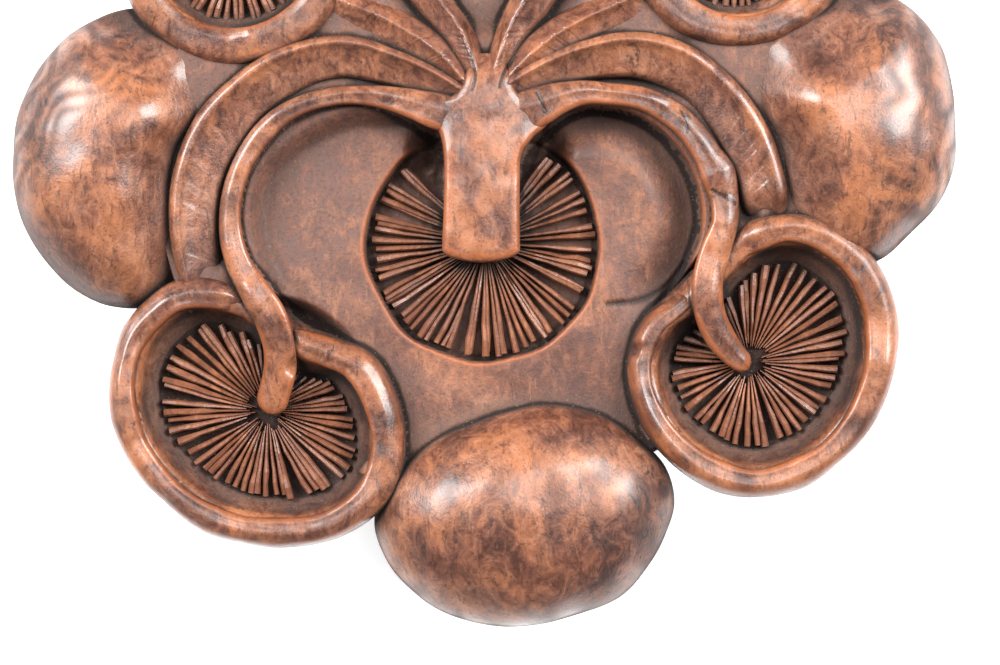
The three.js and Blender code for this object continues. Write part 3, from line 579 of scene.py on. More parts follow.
def ring_points(middle, radius, start_deg, sweep_deg):
    """Places round a circle that tightens a little over the sweep."""
    turn = np.radians(start_deg + np.linspace(0, sweep_deg, RING_PLACES))
    r = radius - np.linspace(0, TIGHTENING, RING_PLACES)
    return np.stack([middle[0] + r * np.cos(turn), middle[1] + r * np.sin(turn)], -1)


UPPER_LEFT_CREST = ring_points(UPPER_LEFT_MIDDLE, 22.3, 112, -330)
UPPER_RIGHT_CREST = ring_points(UPPER_RIGHT_MIDDLE, 21.6, 68, 330)


def rim(crest, widths, heights, seed, inner):
    """A rim band: its crest line with half widths and heights spread evenly along it."""
    crest = np.asarray(crest, float)
    at = np.linspace(0, 1, len(crest))
    half = np.interp(at, np.linspace(0, 1, len(widths)), widths)
    height = np.interp(at, np.linspace(0, 1, len(heights)), heights)
    path = np.column_stack([crest, half, height])
    return band(path, RIM_SECTION, 340, seed, inner, tool=0.4, round_start=1.5, round_end=3)


carved["lower_left_bowl"] = bowl(LEFT_MIDDLE, LEFT_CREST[1:-1], 2.9, 61)
carved["lower_right_bowl"] = bowl(RIGHT_MIDDLE, RIGHT_CREST[1:-1], 2.9, 62)
carved["upper_left_bowl"] = bowl(UPPER_LEFT_MIDDLE, UPPER_LEFT_CREST[:-1], 3.2, 63)
carved["upper_right_bowl"] = bowl(UPPER_RIGHT_MIDDLE, UPPER_RIGHT_CREST[:-1], 3.0, 64)
carved["lower_left_rim"] = rim(
    LEFT_CREST, [2.2, 3.1, 2.9, 2.7, 2.7, 2.8, 3, 3.3, 3.5, 3.1, 1.9],
    [13.5, 16.8, 17.2, 17.2, 17, 17, 16.6, 14.5], 71, 1,
)
carved["lower_right_rim"] = rim(
    RIGHT_CREST, [2.2, 3, 3.1, 3.3, 3.3, 3.1, 2.8, 2.6, 2.4, 2.3, 1.9],
    [13.5, 17, 17.6, 17.6, 17.2, 17, 16.6, 14.5], 72, -1,
)
UPPER_HEIGHTS = [14, 16.4, 16.8, 16, 14.5]
carved["upper_left_rim"] = rim(
    UPPER_LEFT_CREST, [2.4, 3.2, 3.5, 3.5, 3.2, 2.4], UPPER_HEIGHTS, 73, -1
)
carved["upper_right_rim"] = rim(
    UPPER_RIGHT_CREST, [2.4, 3, 3.3, 3.2, 3, 2.4], UPPER_HEIGHTS, 74, 1
)

# ---- Gills ----------------------------------------------------------------------------------
# Slivers left standing between gouge cuts, thin at the hub and cut off square at the wall. They are
# uneven: some lean, some are short, and a few have broken out.


CUP_GILL_FLOOR = CUP_FLOOR - 0.4
CUP_GILL_HEIGHT = 3.1
STATIONS = 7


def gills(hub, middle, edge, count, seed, floor=CUP_GILL_FLOOR, height=CUP_GILL_HEIGHT, skip=()):
    """Slivers round a hub, each a flat-topped bar of seven sections with its edges just broken.

    A sliver's centre line runs from the hub towards the edge, bending a little; its half width grows
    with distance from the hub up to a limit; its height falls away at both ends. edge(angle) is the
    radius round middle where it stops. Angles in skip, in degrees, are left out.
    """
    rng = np.random.default_rng(seed)
    turn = 2 * pi * (np.arange(count) + rng.uniform(-0.2, 0.2, count)) / count
    keep = rng.uniform(size=count) > 0.03
    for low, high in skip:
        keep &= ~((np.degrees(turn) > low) & (np.degrees(turn) < high))
    turn = turn[keep]
    n = len(turn)
    start = rng.uniform(2.2, 5.0, n)
    # where a ray from the hub meets the edge: a few rounds of correction from the middle's radius
    stop = edge(turn).copy()
    for _ in range(6):
        end = np.stack([hub[0] + stop * np.cos(turn), hub[1] + stop * np.sin(turn)], -1) - middle
        stop -= np.hypot(end[:, 0], end[:, 1]) - edge(np.arctan2(end[:, 1], end[:, 0]))
    stop = stop * rng.uniform(0.95, 1.0, n) - 0.3
    share = np.linspace(0, 1, STATIONS)
    r = start[:, None] + (stop - start)[:, None] * share
    bend = rng.normal(0, 0.025, n)[:, None] * share + rng.normal(0, 0.004, (n, STATIONS))
    direction = turn[:, None] + bend
    gap = 2 * pi / count
    widest = rng.uniform(0.5, 0.86, n)[:, None]
    half = np.minimum(gap * r * 0.38, widest) * (1 + rng.normal(0, 0.09, (n, STATIONS)))
    top = floor + height * rng.uniform(0.75, 1.1, n)[:, None] * np.minimum(1, 0.55 + 1.3 * share)
    top = top + rng.normal(0, 0.12, (n, STATIONS)) - 0.4 * (share > 0.99)
    lean = rng.normal(0, 0.16, n)[:, None]
    section = np.array([(-1.1, -1.0), (-1, -0.12), (-0.5, 0), (0.5, 0), (1, -0.12), (1.1, -1.0)])
    across = section[:, 0] * half[..., None]
    depth = section[:, 1] * (height + 1.6)
    z = top[..., None] + depth + lean[..., None] * across * (section[:, 1] > -0.5)
    cos, sin = np.cos(direction)[..., None], np.sin(direction)[..., None]
    u = hub[0] + r[..., None] * cos - across * sin
    v = hub[1] + r[..., None] * sin + across * cos
    return np.stack([u, v, z], -1)


def cup_edge(crest, middle, inset):
    """The radius round a cup's middle where its gills stop."""
    return lambda angle: outline_radius(crest, np.array(middle), angle) - inset


MIDDLE_REACH = 24.7
UNDER_TRUNK = (60, 136)
carved["middle_gills"] = gills(
    (0.5, 0.5), (0, 0), lambda angle: np.full_like(angle, MIDDLE_REACH), 78, 81,
    floor=DISC_FLOOR - 0.2, height=3.5, skip=[UNDER_TRUNK],
)
for name, hub, middle, crest, inset, count, seed in (
    ("lower_left_gills", (-46.5, -35.8), LEFT_MIDDLE, LEFT_CREST[1:-1], 6.8, 60, 82),
    ("lower_right_gills", (57.4, -25.2), RIGHT_MIDDLE, RIGHT_CREST[1:-1], 6.6, 54, 83),
    ("upper_left_gills", (-53, 64), UPPER_LEFT_MIDDLE, UPPER_LEFT_CREST[:-1], 5, 50, 84),
    ("upper_right_gills", (54.5, 66), UPPER_RIGHT_MIDDLE, UPPER_RIGHT_CREST[:-1], 5, 50, 85),
):
    carved[name] = gills(hub, middle, cup_edge(crest, middle, inset), count, seed)

# ---- Stalks and trunk -----------------------------------------------------------------------
# The stalks fan out of one trunk. The inner pair are rounded bands over deep cuts; the outer pair
# have a sharp ridge and a long tooled slope; the upper ones are knife-cut, like leaves.
ROUND_SECTION = closed_section(
    [(-0.88, -8), (-0.95, -4.5), (-1.0, -2.2), (-1.0, -1.3), (-0.96, -0.7), (-0.86, -0.38),
     (-0.4, -0.16), (0.1, 0), (0.42, -0.08), (0.62, -0.42), (0.95, -1.3), (1.04, -2.1),
     (1.12, -4.5), (1.1, -8)],
    56, -10, 2.6,
)
RIDGE_SECTION = closed_section(
    [(-1.4, -7), (-1.28, -4.6), (-1.12, -3.5), (-0.7, -2.7), (-0.2, -1.9), (0.2, -1.15),
     (0.42, -0.5), (0.53, -0.08), (0.62, 0), (0.74, -0.12), (0.92, -0.85), (1.02, -1.8),
     (1.08, -3.6), (1.12, -7)],
    64, -9, 4.3,
)
LEAF_SECTION = closed_section(
    [(-1.25, -6.5), (-1.08, -3.6), (-0.8, -2.6), (-0.35, -1.5), (0, -0.5), (0.12, -0.08),
     (0.2, 0), (0.3, -0.25), (0.7, -2.0), (0.98, -3.6), (1.12, -6.5)],
    52, -8, 3.8,
)

carved["left_inner_stalk"] = band(
    [(0, 26.4, 3, 18), (-5, 26.9, 3.6, 18.9), (-9.4, 27.8, 3.7, 19.4), (-14.5, 29.4, 3, 19),
     (-20.8, 31, 2.2, 17.8), (-28.4, 31.6, 1.9, 17), (-36.5, 30.2, 2, 17), (-43.3, 26.9, 2.1, 17),
     (-48.8, 21, 2.1, 17), (-52.5, 13.7, 2, 17), (-53.8, 4, 2.1, 17.2), (-51.8, -4.5, 2.6, 17.8),
     (-48.4, -10.2, 3.2, 18.4), (-45.2, -15.4, 3.6, 18.2), (-43.4, -21.5, 3.5, 17.4),
     (-43.3, -27, 3.4, 16), (-44.6, -32, 3.2, 14.4), (-46, -36.4, 3, 13.2)],
    ROUND_SECTION, 320, 91, 1, tool=0.3, round_end=2.8,
)
carved["right_inner_stalk"] = band(
    [(0, 26.8, 3.2, 18), (5.5, 27.3, 3.7, 18.9), (10.6, 28.4, 3.8, 19.4), (15.8, 30.6, 3.1, 19),
     (21.4, 32, 2.5, 17.8), (27, 31.8, 2.3, 17), (34.5, 30.6, 2.5, 17), (41.5, 26.6, 2.8, 17),
     (47, 20, 3.1, 17.2), (50.6, 12.6, 3.2, 17.2), (51.4, 5.1, 3.2, 17.4), (49.2, -2, 3.2, 17.8),
     (47.6, -8.7, 3.1, 18), (48, -14.1, 3.2, 17.4), (50.2, -19.4, 3.3, 16),
     (53.4, -23.4, 2.8, 14.2), (57, -26.6, 2.1, 12.6)],
    ROUND_SECTION, 320, 92, -1, tool=0.34, round_end=2.2,
)
carved["left_outer_stalk"] = band(
    [(-4, 30, 3, 19.2), (-12, 34.8, 3.2, 18.4), (-20.5, 38.3, 3.4, 17.8), (-30, 40.4, 3.8, 17.6),
     (-39.6, 38.4, 4.2, 17.6), (-49, 32.8, 4.6, 17.8), (-57, 23.8, 4.9, 17.9),
     (-61.2, 14, 4.9, 17.8), (-62.2, 5, 4.6, 17.4), (-61.6, -3, 4.1, 16.6), (-60.6, -9, 3.6, 15.4),
     (-60.4, -13, 3.2, 14)],
    RIDGE_SECTION, 360, 193, 1, tool=0.24, feather=0.16,
)
carved["right_outer_stalk"] = band(
    [(5, 31.5, 3, 19.2), (13, 36, 3.3, 18.4), (23, 39.8, 3.8, 17.8), (34, 40.8, 4, 17.7),
     (43.8, 37.2, 4.3, 17.7), (51.4, 30.2, 4.5, 17.8), (56.2, 22.8, 4.5, 17.8),
     (59, 15.8, 4.3, 17.6), (60.8, 8.8, 3.9, 16.8), (61.3, 5.6, 3.2, 14.4)],
    RIDGE_SECTION, 330, 94, -1, tool=0.32, feather=0.16,
)
carved["left_leaf"] = band(
    [(-2, 31, 3.2, 18.6), (-7, 37, 3.6, 18.2), (-13.5, 42.6, 3.9, 17.4), (-22, 47.4, 4.2, 16.6),
     (-31, 51.2, 4.4, 16), (-38, 55, 4, 14)],
    LEAF_SECTION, 260, 95, 1, tool=0.5, feather=0.22,
)
carved["right_leaf"] = band(
    [(3, 31.5, 3.2, 18.6), (8.5, 37.5, 3.6, 18.2), (15, 43, 3.9, 17.4), (23, 47.6, 4.2, 16.6),
     (31, 51.2, 4.4, 16), (38.5, 55.5, 4, 14)],
    LEAF_SECTION, 260, 96, -1, tool=0.5, feather=0.22,
)
carved["left_tall_leaf"] = band(
    [(-0.6, 32, 2.4, 18.8), (-2.4, 38, 2.6, 18.8), (-5, 44.4, 3, 18.2), (-9.6, 51, 3.6, 17.6),
     (-15.5, 60, 4, 17.2), (-24, 71, 4, 17), (-36, 78.4, 3.6, 17), (-47.5, 77.5, 3.4, 17),
     (-53.8, 71, 3, 15.4), (-54, 64, 2.6, 13)],
    LEAF_SECTION, 340, 97, 1, tool=0.4, round_end=2.4, feather=0.2,
)
carved["right_tall_leaf"] = band(
    [(1.8, 32, 2.4, 18.8), (3.4, 38, 2.6, 18.8), (6, 45, 3, 18.2), (10, 52, 3.6, 17.6),
     (16, 61, 4, 17.2), (25, 72, 4, 17), (37, 80, 3.6, 17), (48.5, 79.5, 3.4, 17),
     (55, 73.5, 3, 15.4), (55.4, 66.5, 2.6, 13)],
    LEAF_SECTION, 340, 98, -1, tool=0.4, round_end=2.4, feather=0.2,
)
TRUNK_SECTION = closed_section(
    [(-0.86, -10), (-0.95, -4), (-1, -1.8), (-0.975, -0.9), (-0.92, -0.4), (-0.82, -0.16),
     (-0.4, -0.02), (0, 0.05), (0.4, -0.02), (0.82, -0.16), (0.92, -0.4), (0.975, -0.9),
     (1, -1.8), (0.95, -4), (0.86, -10)],
    110, -14, 8,
)
carved["trunk"] = band(
    [(-0.4, -3.9, 8.2, 19.4), (-0.4, 0, 8.2, 19.8), (-0.3, 6, 8.1, 20.1), (-0.2, 14, 8, 20.3),
     (-0.2, 18, 8.1, 20.3), (0, 21, 8.8, 20.3), (0.3, 23.6, 10.4, 20.3), (0.5, 25.8, 12.6, 20.3),
     (0.7, 28, 13.2, 20.2), (0.9, 30.2, 8.4, 20), (1, 32.6, 6, 19.6), (1, 36.4, 4.6, 18.4),
     (1, 40.5, 3, 15.4)],
    TRUNK_SECTION, 190, 99, 1, tool=0.1, round_start=2.6,
)

# The trunk's top swells down into the stalks.
TRUNK_SWELL = 2.7
p = carved["trunk"]
side = np.abs(p[..., 0] - 0.6) / 14
p[..., 2] -= TRUNK_SWELL * side**2 * ease(p[..., 1], 19, 26) * (p[..., 2] > 12)

# Small losses: a bite out of the left stalk's edge, and a nick in the right cup's rim.
LOSS_RADIUS = 1.5
for name, place, depth in (
    ("left_inner_stalk", (-40.2, -26.2), 2.4),
    ("lower_right_rim", (31.9, -22.4), 2.6),
):
    p = carved[name]
    off = np.hypot(p[..., 0] - place[0], p[..., 1] - place[1])
    p[..., 2] -= depth * np.exp(-((off / LOSS_RADIUS) ** 2)) * (p[..., 2] > 8)

# ---- Dirt, wear and painted shade on the carving --------------------------------------------
# Years of wax and soot fill the creases, darkened further by painted shade, and hands polish what
# stands out. Both come from one map of the carving's height.


MAP_LOW = np.array([-106.0, -90.0])
MAP_HIGH = np.array([106.0, 130.0])
MAP_CELL = 0.5
UNSEEN = -99.0
OFF_CARVING = 9
CREASE_REACH = 1.1
HOLLOW_REACH = 4.5
BURIED = 2.5
# Set crease values for buried points and cups' floors: soot and painted shade under things and in wells.
BURIED_CREASE = 0.3
WELL_CREASE = 0.68


def height_map(surfaces):
    """The highest point of the surfaces over each square of a map.

    Each surface also counts halfway between its neighbouring points, so that no square is missed.
    Off the carving the map stays at the height of the lobes' edges.
    """
    size = np.ceil((MAP_HIGH - MAP_LOW) / MAP_CELL).astype(int)
    heights = np.full(size, UNSEEN)
    for p in surfaces:
        p = np.stack([p, (p + np.roll(p, -1, axis=-2)) / 2], axis=-2).reshape(*p.shape[:-2], -1, 3)
        halfway = (p[..., 1:, :, :] + p[..., :-1, :, :]) / 2
        for q in (p.reshape(-1, 3), halfway.reshape(-1, 3)):
            at = np.clip(((q[:, :2] - MAP_LOW) / MAP_CELL).astype(int), 0, size - 1)
            np.maximum.at(heights, (at[:, 0], at[:, 1]), q[:, 2])
    return np.where(heights == UNSEEN, OFF_CARVING, heights)


def blurred(heights, reach):
    """The map's mean over a soft circle: its waves shorter than the reach fade out."""
    radius = reach / MAP_CELL
    fu = np.fft.fftfreq(heights.shape[0])[:, None]
    fv = np.fft.rfftfreq(heights.shape[1])[None, :]
    fade = np.exp(-2 * (pi * radius) ** 2 * (fu**2 + fv**2))
    return np.fft.irfft2(np.fft.rfft2(heights) * fade, heights.shape)


def sampled(values, u, v):
    """A map's value at places between its squares' middles, mixed from the four nearest."""
    x = np.clip((u - MAP_LOW[0]) / MAP_CELL - 0.5, 0, values.shape[0] - 1.001)
    y = np.clip((v - MAP_LOW[1]) / MAP_CELL - 0.5, 0, values.shape[1] - 1.001)
    i, j = x.astype(int), y.astype(int)
    s, t = x - i, y - j
    return (
        (values[i, j] * (1 - t) + values[i, j + 1] * t) * (1 - s)
        + (values[i + 1, j] * (1 - t) + values[i + 1, j + 1] * t) * s
    )


heights = height_map(carved.values())
near = blurred(heights, CREASE_REACH)
wide = blurred(heights, HOLLOW_REACH)

CRACK_HALF = 0.34
GROUND_CRACK_HALF = 0.6
CRACKS = [
    [(42.1, 28.2), (43, 26.4), (43.4, 23.8)],
    [(48.6, 11.2), (50.6, 10.2), (53.6, 8.4)],
    [(11.4, 32), (12.2, 30.4), (13.2, 27.6)],
    [(26.7, -12.8), (33.5, -12), (39.5, -8.9), (43.5, -4)],
    [(-2.6, 40), (-1.6, 35.6), (-2.2, 32.4)],
    [(6.8, 39.5), (4.4, 36), (3.6, 33)],
]


def rings_of_growth(u, v, middle, stretch, width, seed):
    """Dark bands of the burr's grain: a wave of the distance from a middle, bent by uneven work."""
    p = np.stack([u, v], -1)
    off = np.hypot((u - middle[0]) * stretch[0], (v - middle[1]) * stretch[1])
    off = off + 2.2 * ripple(p, 22, seed)
    return 0.5 + 0.5 * np.sin(2 * pi * off / width + 0.8 * ripple(p, 9, seed + 1))


def figure_and_shade_of(name, u, v, h):
    """How dark the wood is at each place, from 0 to 1: its dark bands and patches, and grime with painted
    shade low down.
    """
    if name == "trunk":
        # darker towards the sides of the trunk's top, where it flares into the stalks
        return 0.2 + 0.45 * ease(np.abs(u - 0.5), 6, 9.5) * ease(v, 17, 22)
    if name.endswith("bowl"):
        # grime and painted shade low in the bowl and down its back
        return 0.7 * (1 - ease(h, 9, 14.5))
    if name.endswith(("rim", "stalk")):
        place = np.stack([u, v, h], -1)
        patches = 0.26 + 0.34 * ripple(place, 17, 431) + 0.14 * ripple(place, 5, 432)
        # random patches, with grime and painted shade low on the sides
        return np.clip(patches + 0.35 * (1 - ease(h, 10.5, 15.5)), 0, 0.85)
    if not name.endswith("lobe"):
        return np.zeros_like(u)
    # grime and painted shade towards the lobe's foot and underside
    darkness = 0.75 * (1 - ease(h, 7.5, 15))
    if name == "left_lobe":
        upper_left = ease(-0.7 * (u + 79) + 0.7 * (v - 18), 2, 16)
        darkness = darkness + 0.85 * upper_left * rings_of_growth(u, v, (-62, 2), (1, 1), 4.6, 401)
        # darker towards the lower left and along the far left edge
        darkness = darkness + 0.5 * ease(-v, -10, 6) * ease(-u, 66, 80) + 0.5 * ease(-u, 84, 97)
    if name == "right_lobe":
        darkness = darkness + 0.75 * ease(u, 76, 88) * rings_of_growth(u, v, (60, 46), (1, 0.7), 6.5, 411)
        # darker towards the top, more so on the left
        darkness = darkness + 0.4 * ease(v - 0.3 * u, 8, 20)
    if name == "grip_lobe":
        upright = rings_of_growth(u, v, (90, -50), (1, 0.12), 10.5, 421)
        darkness = darkness + 0.6 * upright * (1 - 0.6 * ease(v, -50, -42))
        # darker at the top left and towards the right, lighter down the middle
        darkness = darkness + 0.6 * ease(v, -46, -38) * ease(-u, -12, 4)
        darkness = darkness + 0.4 * ease(u, 22, 36) - 0.35 * np.exp(-(((u - 6) / 7) ** 2))
    return np.clip(darkness, 0, 1)


for name, p in carved.items():
    gilled = name.endswith("gills")
    piece = skin(name, p, smooth=not gilled)
    points = np.empty(len(piece.data.vertices) * 3)
    piece.data.vertices.foreach_get("co", points)
    u, v, h = (points.reshape(-1, 3) * 1000 - ORIGIN).T
    # crease darkens the wood as soot and painted shade where the carving stands higher round a point.
    crease = np.clip((sampled(near, u, v) - h) / 2, -1, 1)
    buried = sampled(heights, u, v) - h
    # cups' floors darkened as soot and painted shade in the wells
    if name.endswith("bowl"):
        crease = np.where(h < CUP_FLOOR + 0.6, np.maximum(crease, WELL_CREASE), crease)
    # the sunk disc's floor darkened as soot and painted shade under the gills
    if name == "carved_ground":
        crease = np.where(np.hypot(u, v) < DISC_RADIUS - 0.4, np.clip(crease, 0.36, 0.6), crease)
    # points with carving over them get a middling crease: soot and painted shade under things
    mark(piece, "crease", np.where(buried > BURIED, BURIED_CREASE, crease))
    # hollow: how far the carving round a point stands above it, for the dust and painted shade of wide
    # hollows
    mark(piece, "hollow", np.clip((sampled(wide, u, v) - h) / 6, -1, 1))
    mark(piece, "figure_and_shade", figure_and_shade_of(name, u, v, h))
    # The ground's dust: over all of it, heavier at the sides above the grip, and towards the left, where it
    # is partly painted shade.
    dust_and_shade_share = 0.8 + 0.25 * ease(np.abs(u), 8, 34) * ease(v, -26, 4) + 0.3 * ease(-u, 10, 36)
    mark(piece, "floor", (name == "carved_ground") * dust_and_shade_share)
    mark(piece, "gill", np.full(len(u), float(gilled)))
    crack = np.zeros_like(u)
    crack_half = GROUND_CRACK_HALF if name == "carved_ground" else CRACK_HALF
    if name.endswith(("stalk", "ground", "trunk", "leaf")):
        for line in CRACKS:
            off = distance_to(smooth_line(line, 30), u, v)
            crack = np.maximum(crack, np.exp(-((off / crack_half) ** 2)))
    mark(piece, "crack", crack)
    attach(piece, "front")
    carved[name] = piece
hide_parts("front_board")


class Wiring:
    """A material's nodes, laid down one by one. Each step returns the socket that the next one reads."""

    def __init__(self, name):
        self.material = bpy.data.materials.new(name)
        self.material.use_nodes = True
        self.nodes = self.material.node_tree.nodes
        self.links = self.material.node_tree.links
        self.shader = self.nodes["Principled BSDF"]

    def node(self, kind, **settings):
        made = self.nodes.new(kind)
        for key, value in settings.items():
            setattr(made, key, value)
        return made

    def plug(self, socket, value):
        if hasattr(value, "is_linked"):
            self.links.new(value, socket)
        else:
            socket.default_value = value

    def place(self, stretch=(1, 1, 1), turn=(0, 0, 0)):
        """Object coordinates in metres. A pattern is drawn out along an axis whose share is under 1."""
        made = self.node("ShaderNodeMapping")
        self.plug(made.inputs["Vector"], self.node("ShaderNodeTexCoord").outputs["Object"])
        made.inputs["Scale"].default_value = stretch
        made.inputs["Rotation"].default_value = turn
        return made.outputs["Vector"]

    def noise(self, vector, scale, detail=4, rough=0.55, distort=0.0):
        made = self.node("ShaderNodeTexNoise")
        self.plug(made.inputs["Vector"], vector)
        made.inputs["Scale"].default_value = scale
        made.inputs["Detail"].default_value = detail
        made.inputs["Roughness"].default_value = rough
        made.inputs["Distortion"].default_value = distort
        return made.outputs["Fac"]

    def mark(self, name):
        return self.node("ShaderNodeAttribute", attribute_name=name).outputs["Fac"]

    def spread(self, value, low, high, to_low=0.0, to_high=1.0):
        made = self.node("ShaderNodeMapRange", interpolation_type="SMOOTHSTEP")
        self.plug(made.inputs["Value"], value)
        made.inputs["From Min"].default_value = low
        made.inputs["From Max"].default_value = high
        made.inputs["To Min"].default_value = to_low
        made.inputs["To Max"].default_value = to_high
        return made.outputs["Result"]

    def worked_out(self, operation, first, second):
        made = self.node("ShaderNodeMath", operation=operation)
        self.plug(made.inputs[0], first)
        self.plug(made.inputs[1], second)
        return made.outputs[0]

    def plus(self, first, second):
        return self.worked_out("ADD", first, second)

    def minus(self, first, second):
        return self.worked_out("SUBTRACT", first, second)

    def times(self, first, second):
        return self.worked_out("MULTIPLY", first, second)

    def mix(self, share, first, second):
        made = self.node("ShaderNodeMix", data_type="RGBA")
        self.plug(made.inputs[0], share)
        self.plug(made.inputs[6], first)
        self.plug(made.inputs[7], second)
        return made.outputs[2]

    def ramp(self, value, stops):
        made = self.node("ShaderNodeValToRGB")
        self.plug(made.inputs["Fac"], value)
        while len(made.color_ramp.elements) < len(stops):
            made.color_ramp.elements.new(0.5)
        for element, (at, tint) in zip(made.color_ramp.elements, stops):
            element.position = at
            element.color = tint
        return made.outputs["Color"]

    def bump(self, height, strength, distance, under=None):
        made = self.node("ShaderNodeBump")
        self.plug(made.inputs["Height"], height)
        made.inputs["Strength"].default_value = strength
        made.inputs["Distance"].default_value = distance
        if under is not None:
            self.plug(made.inputs["Normal"], under)
        return made.outputs["Normal"]


def waxed_burr():
    """Burr wood: mottled grain with dark flecks and pores, amber edges, and dust, soot and painted shade in
    the creases.
    """
    w = Wiring("waxed_burr")
    cloud = w.noise(w.place(), 60, 5, 0.62, 1.0)
    mottle = w.noise(w.place((1, 0.7, 1), (0, 0, 0.6)), 240, 6, 0.7, 1.4)
    fleck = w.noise(w.place((1, 0.3, 1), (0, 0, 0.4)), 620, 4, 0.65, 0.5)
    blot = w.noise(w.place((1, 0.6, 1), (0, 0, -0.3)), 460, 3, 0.6, 1.2)
    pore = w.noise(w.place(), 1700, 2, 0.5)
    blend = w.plus(w.times(cloud, 0.5), w.times(mottle, 0.5))
    tint = w.ramp(blend, [(0.37, colour(66, 36, 26)), (0.45, colour(102, 60, 43)),
                          (0.54, colour(134, 84, 60)), (0.64, colour(168, 114, 84))])
    crease, hollow, gill, figure_and_shade = w.mark("crease"), w.mark("hollow"), w.mark("gill"), w.mark("figure_and_shade")
    uneven = w.times(w.minus(mottle, 0.5), 0.6)
    golden = w.times(w.spread(cloud, 0.44, 0.62), w.spread(hollow, 0.0, -0.1, 0, 0.55))
    tint = w.mix(golden, tint, colour(172, 106, 66))
    # The burr's dark bands, and grime with painted shade low on the carving.
    tint = w.mix(w.times(figure_and_shade, w.spread(mottle, 0.35, 0.6, 0.95, 0.5)), tint, colour(48, 23, 17))
    stain = w.times(w.spread(blot, 0.6, 0.68, 0, 0.85), w.plus(figure_and_shade, 0.15))
    tint = w.mix(stain, tint, colour(26, 16, 15))
    tint = w.mix(w.spread(fleck, 0.54, 0.68, 0, 0.6), tint, colour(52, 26, 19))
    tint = w.mix(w.spread(pore, 0.6, 0.7, 0, 0.5), tint, colour(38, 21, 16))
    # The carved ground greyed by dust, and towards its left by painted shade too.
    floor = w.mark("floor")
    tint = w.mix(w.times(floor, w.spread(mottle, 0.35, 0.62, 0.72, 0.42)), tint, colour(92, 63, 54))
    grit = w.times(floor, w.spread(w.noise(w.place(), 1150, 3, 0.7), 0.5, 0.66))
    tint = w.mix(w.times(grit, 0.4), tint, colour(58, 42, 38))
    edge = w.times(w.spread(w.plus(crease, uneven), -0.16, -0.55, 0, 0.5), w.minus(1, gill))
    tint = w.mix(edge, tint, colour(166, 92, 50))
    tint = w.mix(w.times(gill, w.spread(mottle, 0.35, 0.62, 0.85, 0.5)), tint, colour(112, 70, 51))
    # Wide hollows greyed by dust and painted shade.
    dust_and_shade = w.times(w.spread(hollow, 0.1, 0.5), w.spread(mottle, 0.3, 0.6, 0.55, 1))
    tint = w.mix(w.times(dust_and_shade, 0.66), tint, colour(72, 56, 50))
    # Soot and painted shade in the creases, nearly black.
    soot_and_shade = w.spread(w.plus(crease, uneven), 0.22, 0.78)
    tint = w.mix(w.times(soot_and_shade, 0.95), tint, colour(28, 18, 14))
    speck = w.times(w.spread(w.noise(w.place(), 2300, 2, 0.5), 0.66, 0.72), w.spread(hollow, 0.02, 0.3))
    tint = w.mix(w.times(speck, 0.5), tint, colour(136, 120, 96))
    scratch = w.spread(w.noise(w.place((1, 0.16, 1), (0, 0, 0.9)), 900, 3, 0.6, 1.2), 0.62, 0.74)
    tint = w.mix(w.times(scratch, w.spread(soot_and_shade, 0, 0.4, 0.16, 0)), tint, colour(196, 150, 120))
    tint = w.mix(w.times(w.mark("crack"), 0.92), tint, colour(18, 12, 10))
    w.plug(w.shader.inputs["Base Color"], tint)
    rough = w.plus(w.spread(soot_and_shade, 0, 1, 0.36, 0.8), w.times(w.minus(mottle, 0.5), 0.6))
    rough = w.plus(rough, w.times(w.plus(w.plus(dust_and_shade, figure_and_shade), floor), 0.2))
    w.plug(w.shader.inputs["Roughness"], rough)
    w.shader.inputs["Specular IOR Level"].default_value = 0.5
    dull = w.plus(
        w.plus(soot_and_shade, dust_and_shade), w.plus(w.plus(gill, w.times(floor, 0.8)), w.times(figure_and_shade, 0.7))
    )
    w.plug(w.shader.inputs["Coat Weight"], w.spread(dull, 0, 0.9, 0.65, 0.02))
    w.shader.inputs["Coat Roughness"].default_value = 0.22
    coarse = w.bump(mottle, 0.3, 0.0006)
    coarse = w.bump(w.minus(0, w.mark("crack")), 0.8, 0.0006, coarse)
    w.plug(w.shader.inputs["Normal"], w.bump(w.plus(pore, fleck), 0.3, 0.0003, coarse))
    return w.material


burr = waxed_burr()
for piece in carved.values():
    piece.data.materials.append(burr)

# ---- Plain part of the front board ----------------------------------------------------------
# Under the carving the same block is a plain pear-shaped board. Its sawn edge takes the nails, and
# its neck carries the hinge leather.
FRONT_BOTTOM = -BOARD_THICKNESS
FRONT_TOP = 0.15  # just under the flat back of the carved part
SOFTENED = 0.5


def even_outline(radius, count):
    """A closed outline at even steps of its length, from its radius round the chamber's middle."""
    angle = np.linspace(0, 2 * pi, 6001)
    r = radius(angle)
    line = np.stack([r * np.cos(angle), CHAMBER_V + r * np.sin(angle)], -1)
    length = np.r_[0, np.cumsum(np.linalg.norm(np.diff(line, axis=0), axis=1))]
    at = np.linspace(0, length[-1], count, endpoint=False)
    return np.stack([np.interp(at, length, line[:, 0]), np.interp(at, length, line[:, 1])], -1)


def pear_outline(out, end_v, count):
    """The pear board's outline, moved out by out, with its neck cut off at end_v."""
    return even_outline(lambda angle: pear_radius(angle, out, end_v), count)


def at_height(outline, height):
    """An outline as a ring of points at a height."""
    return np.column_stack([outline, np.full(len(outline), float(height))])


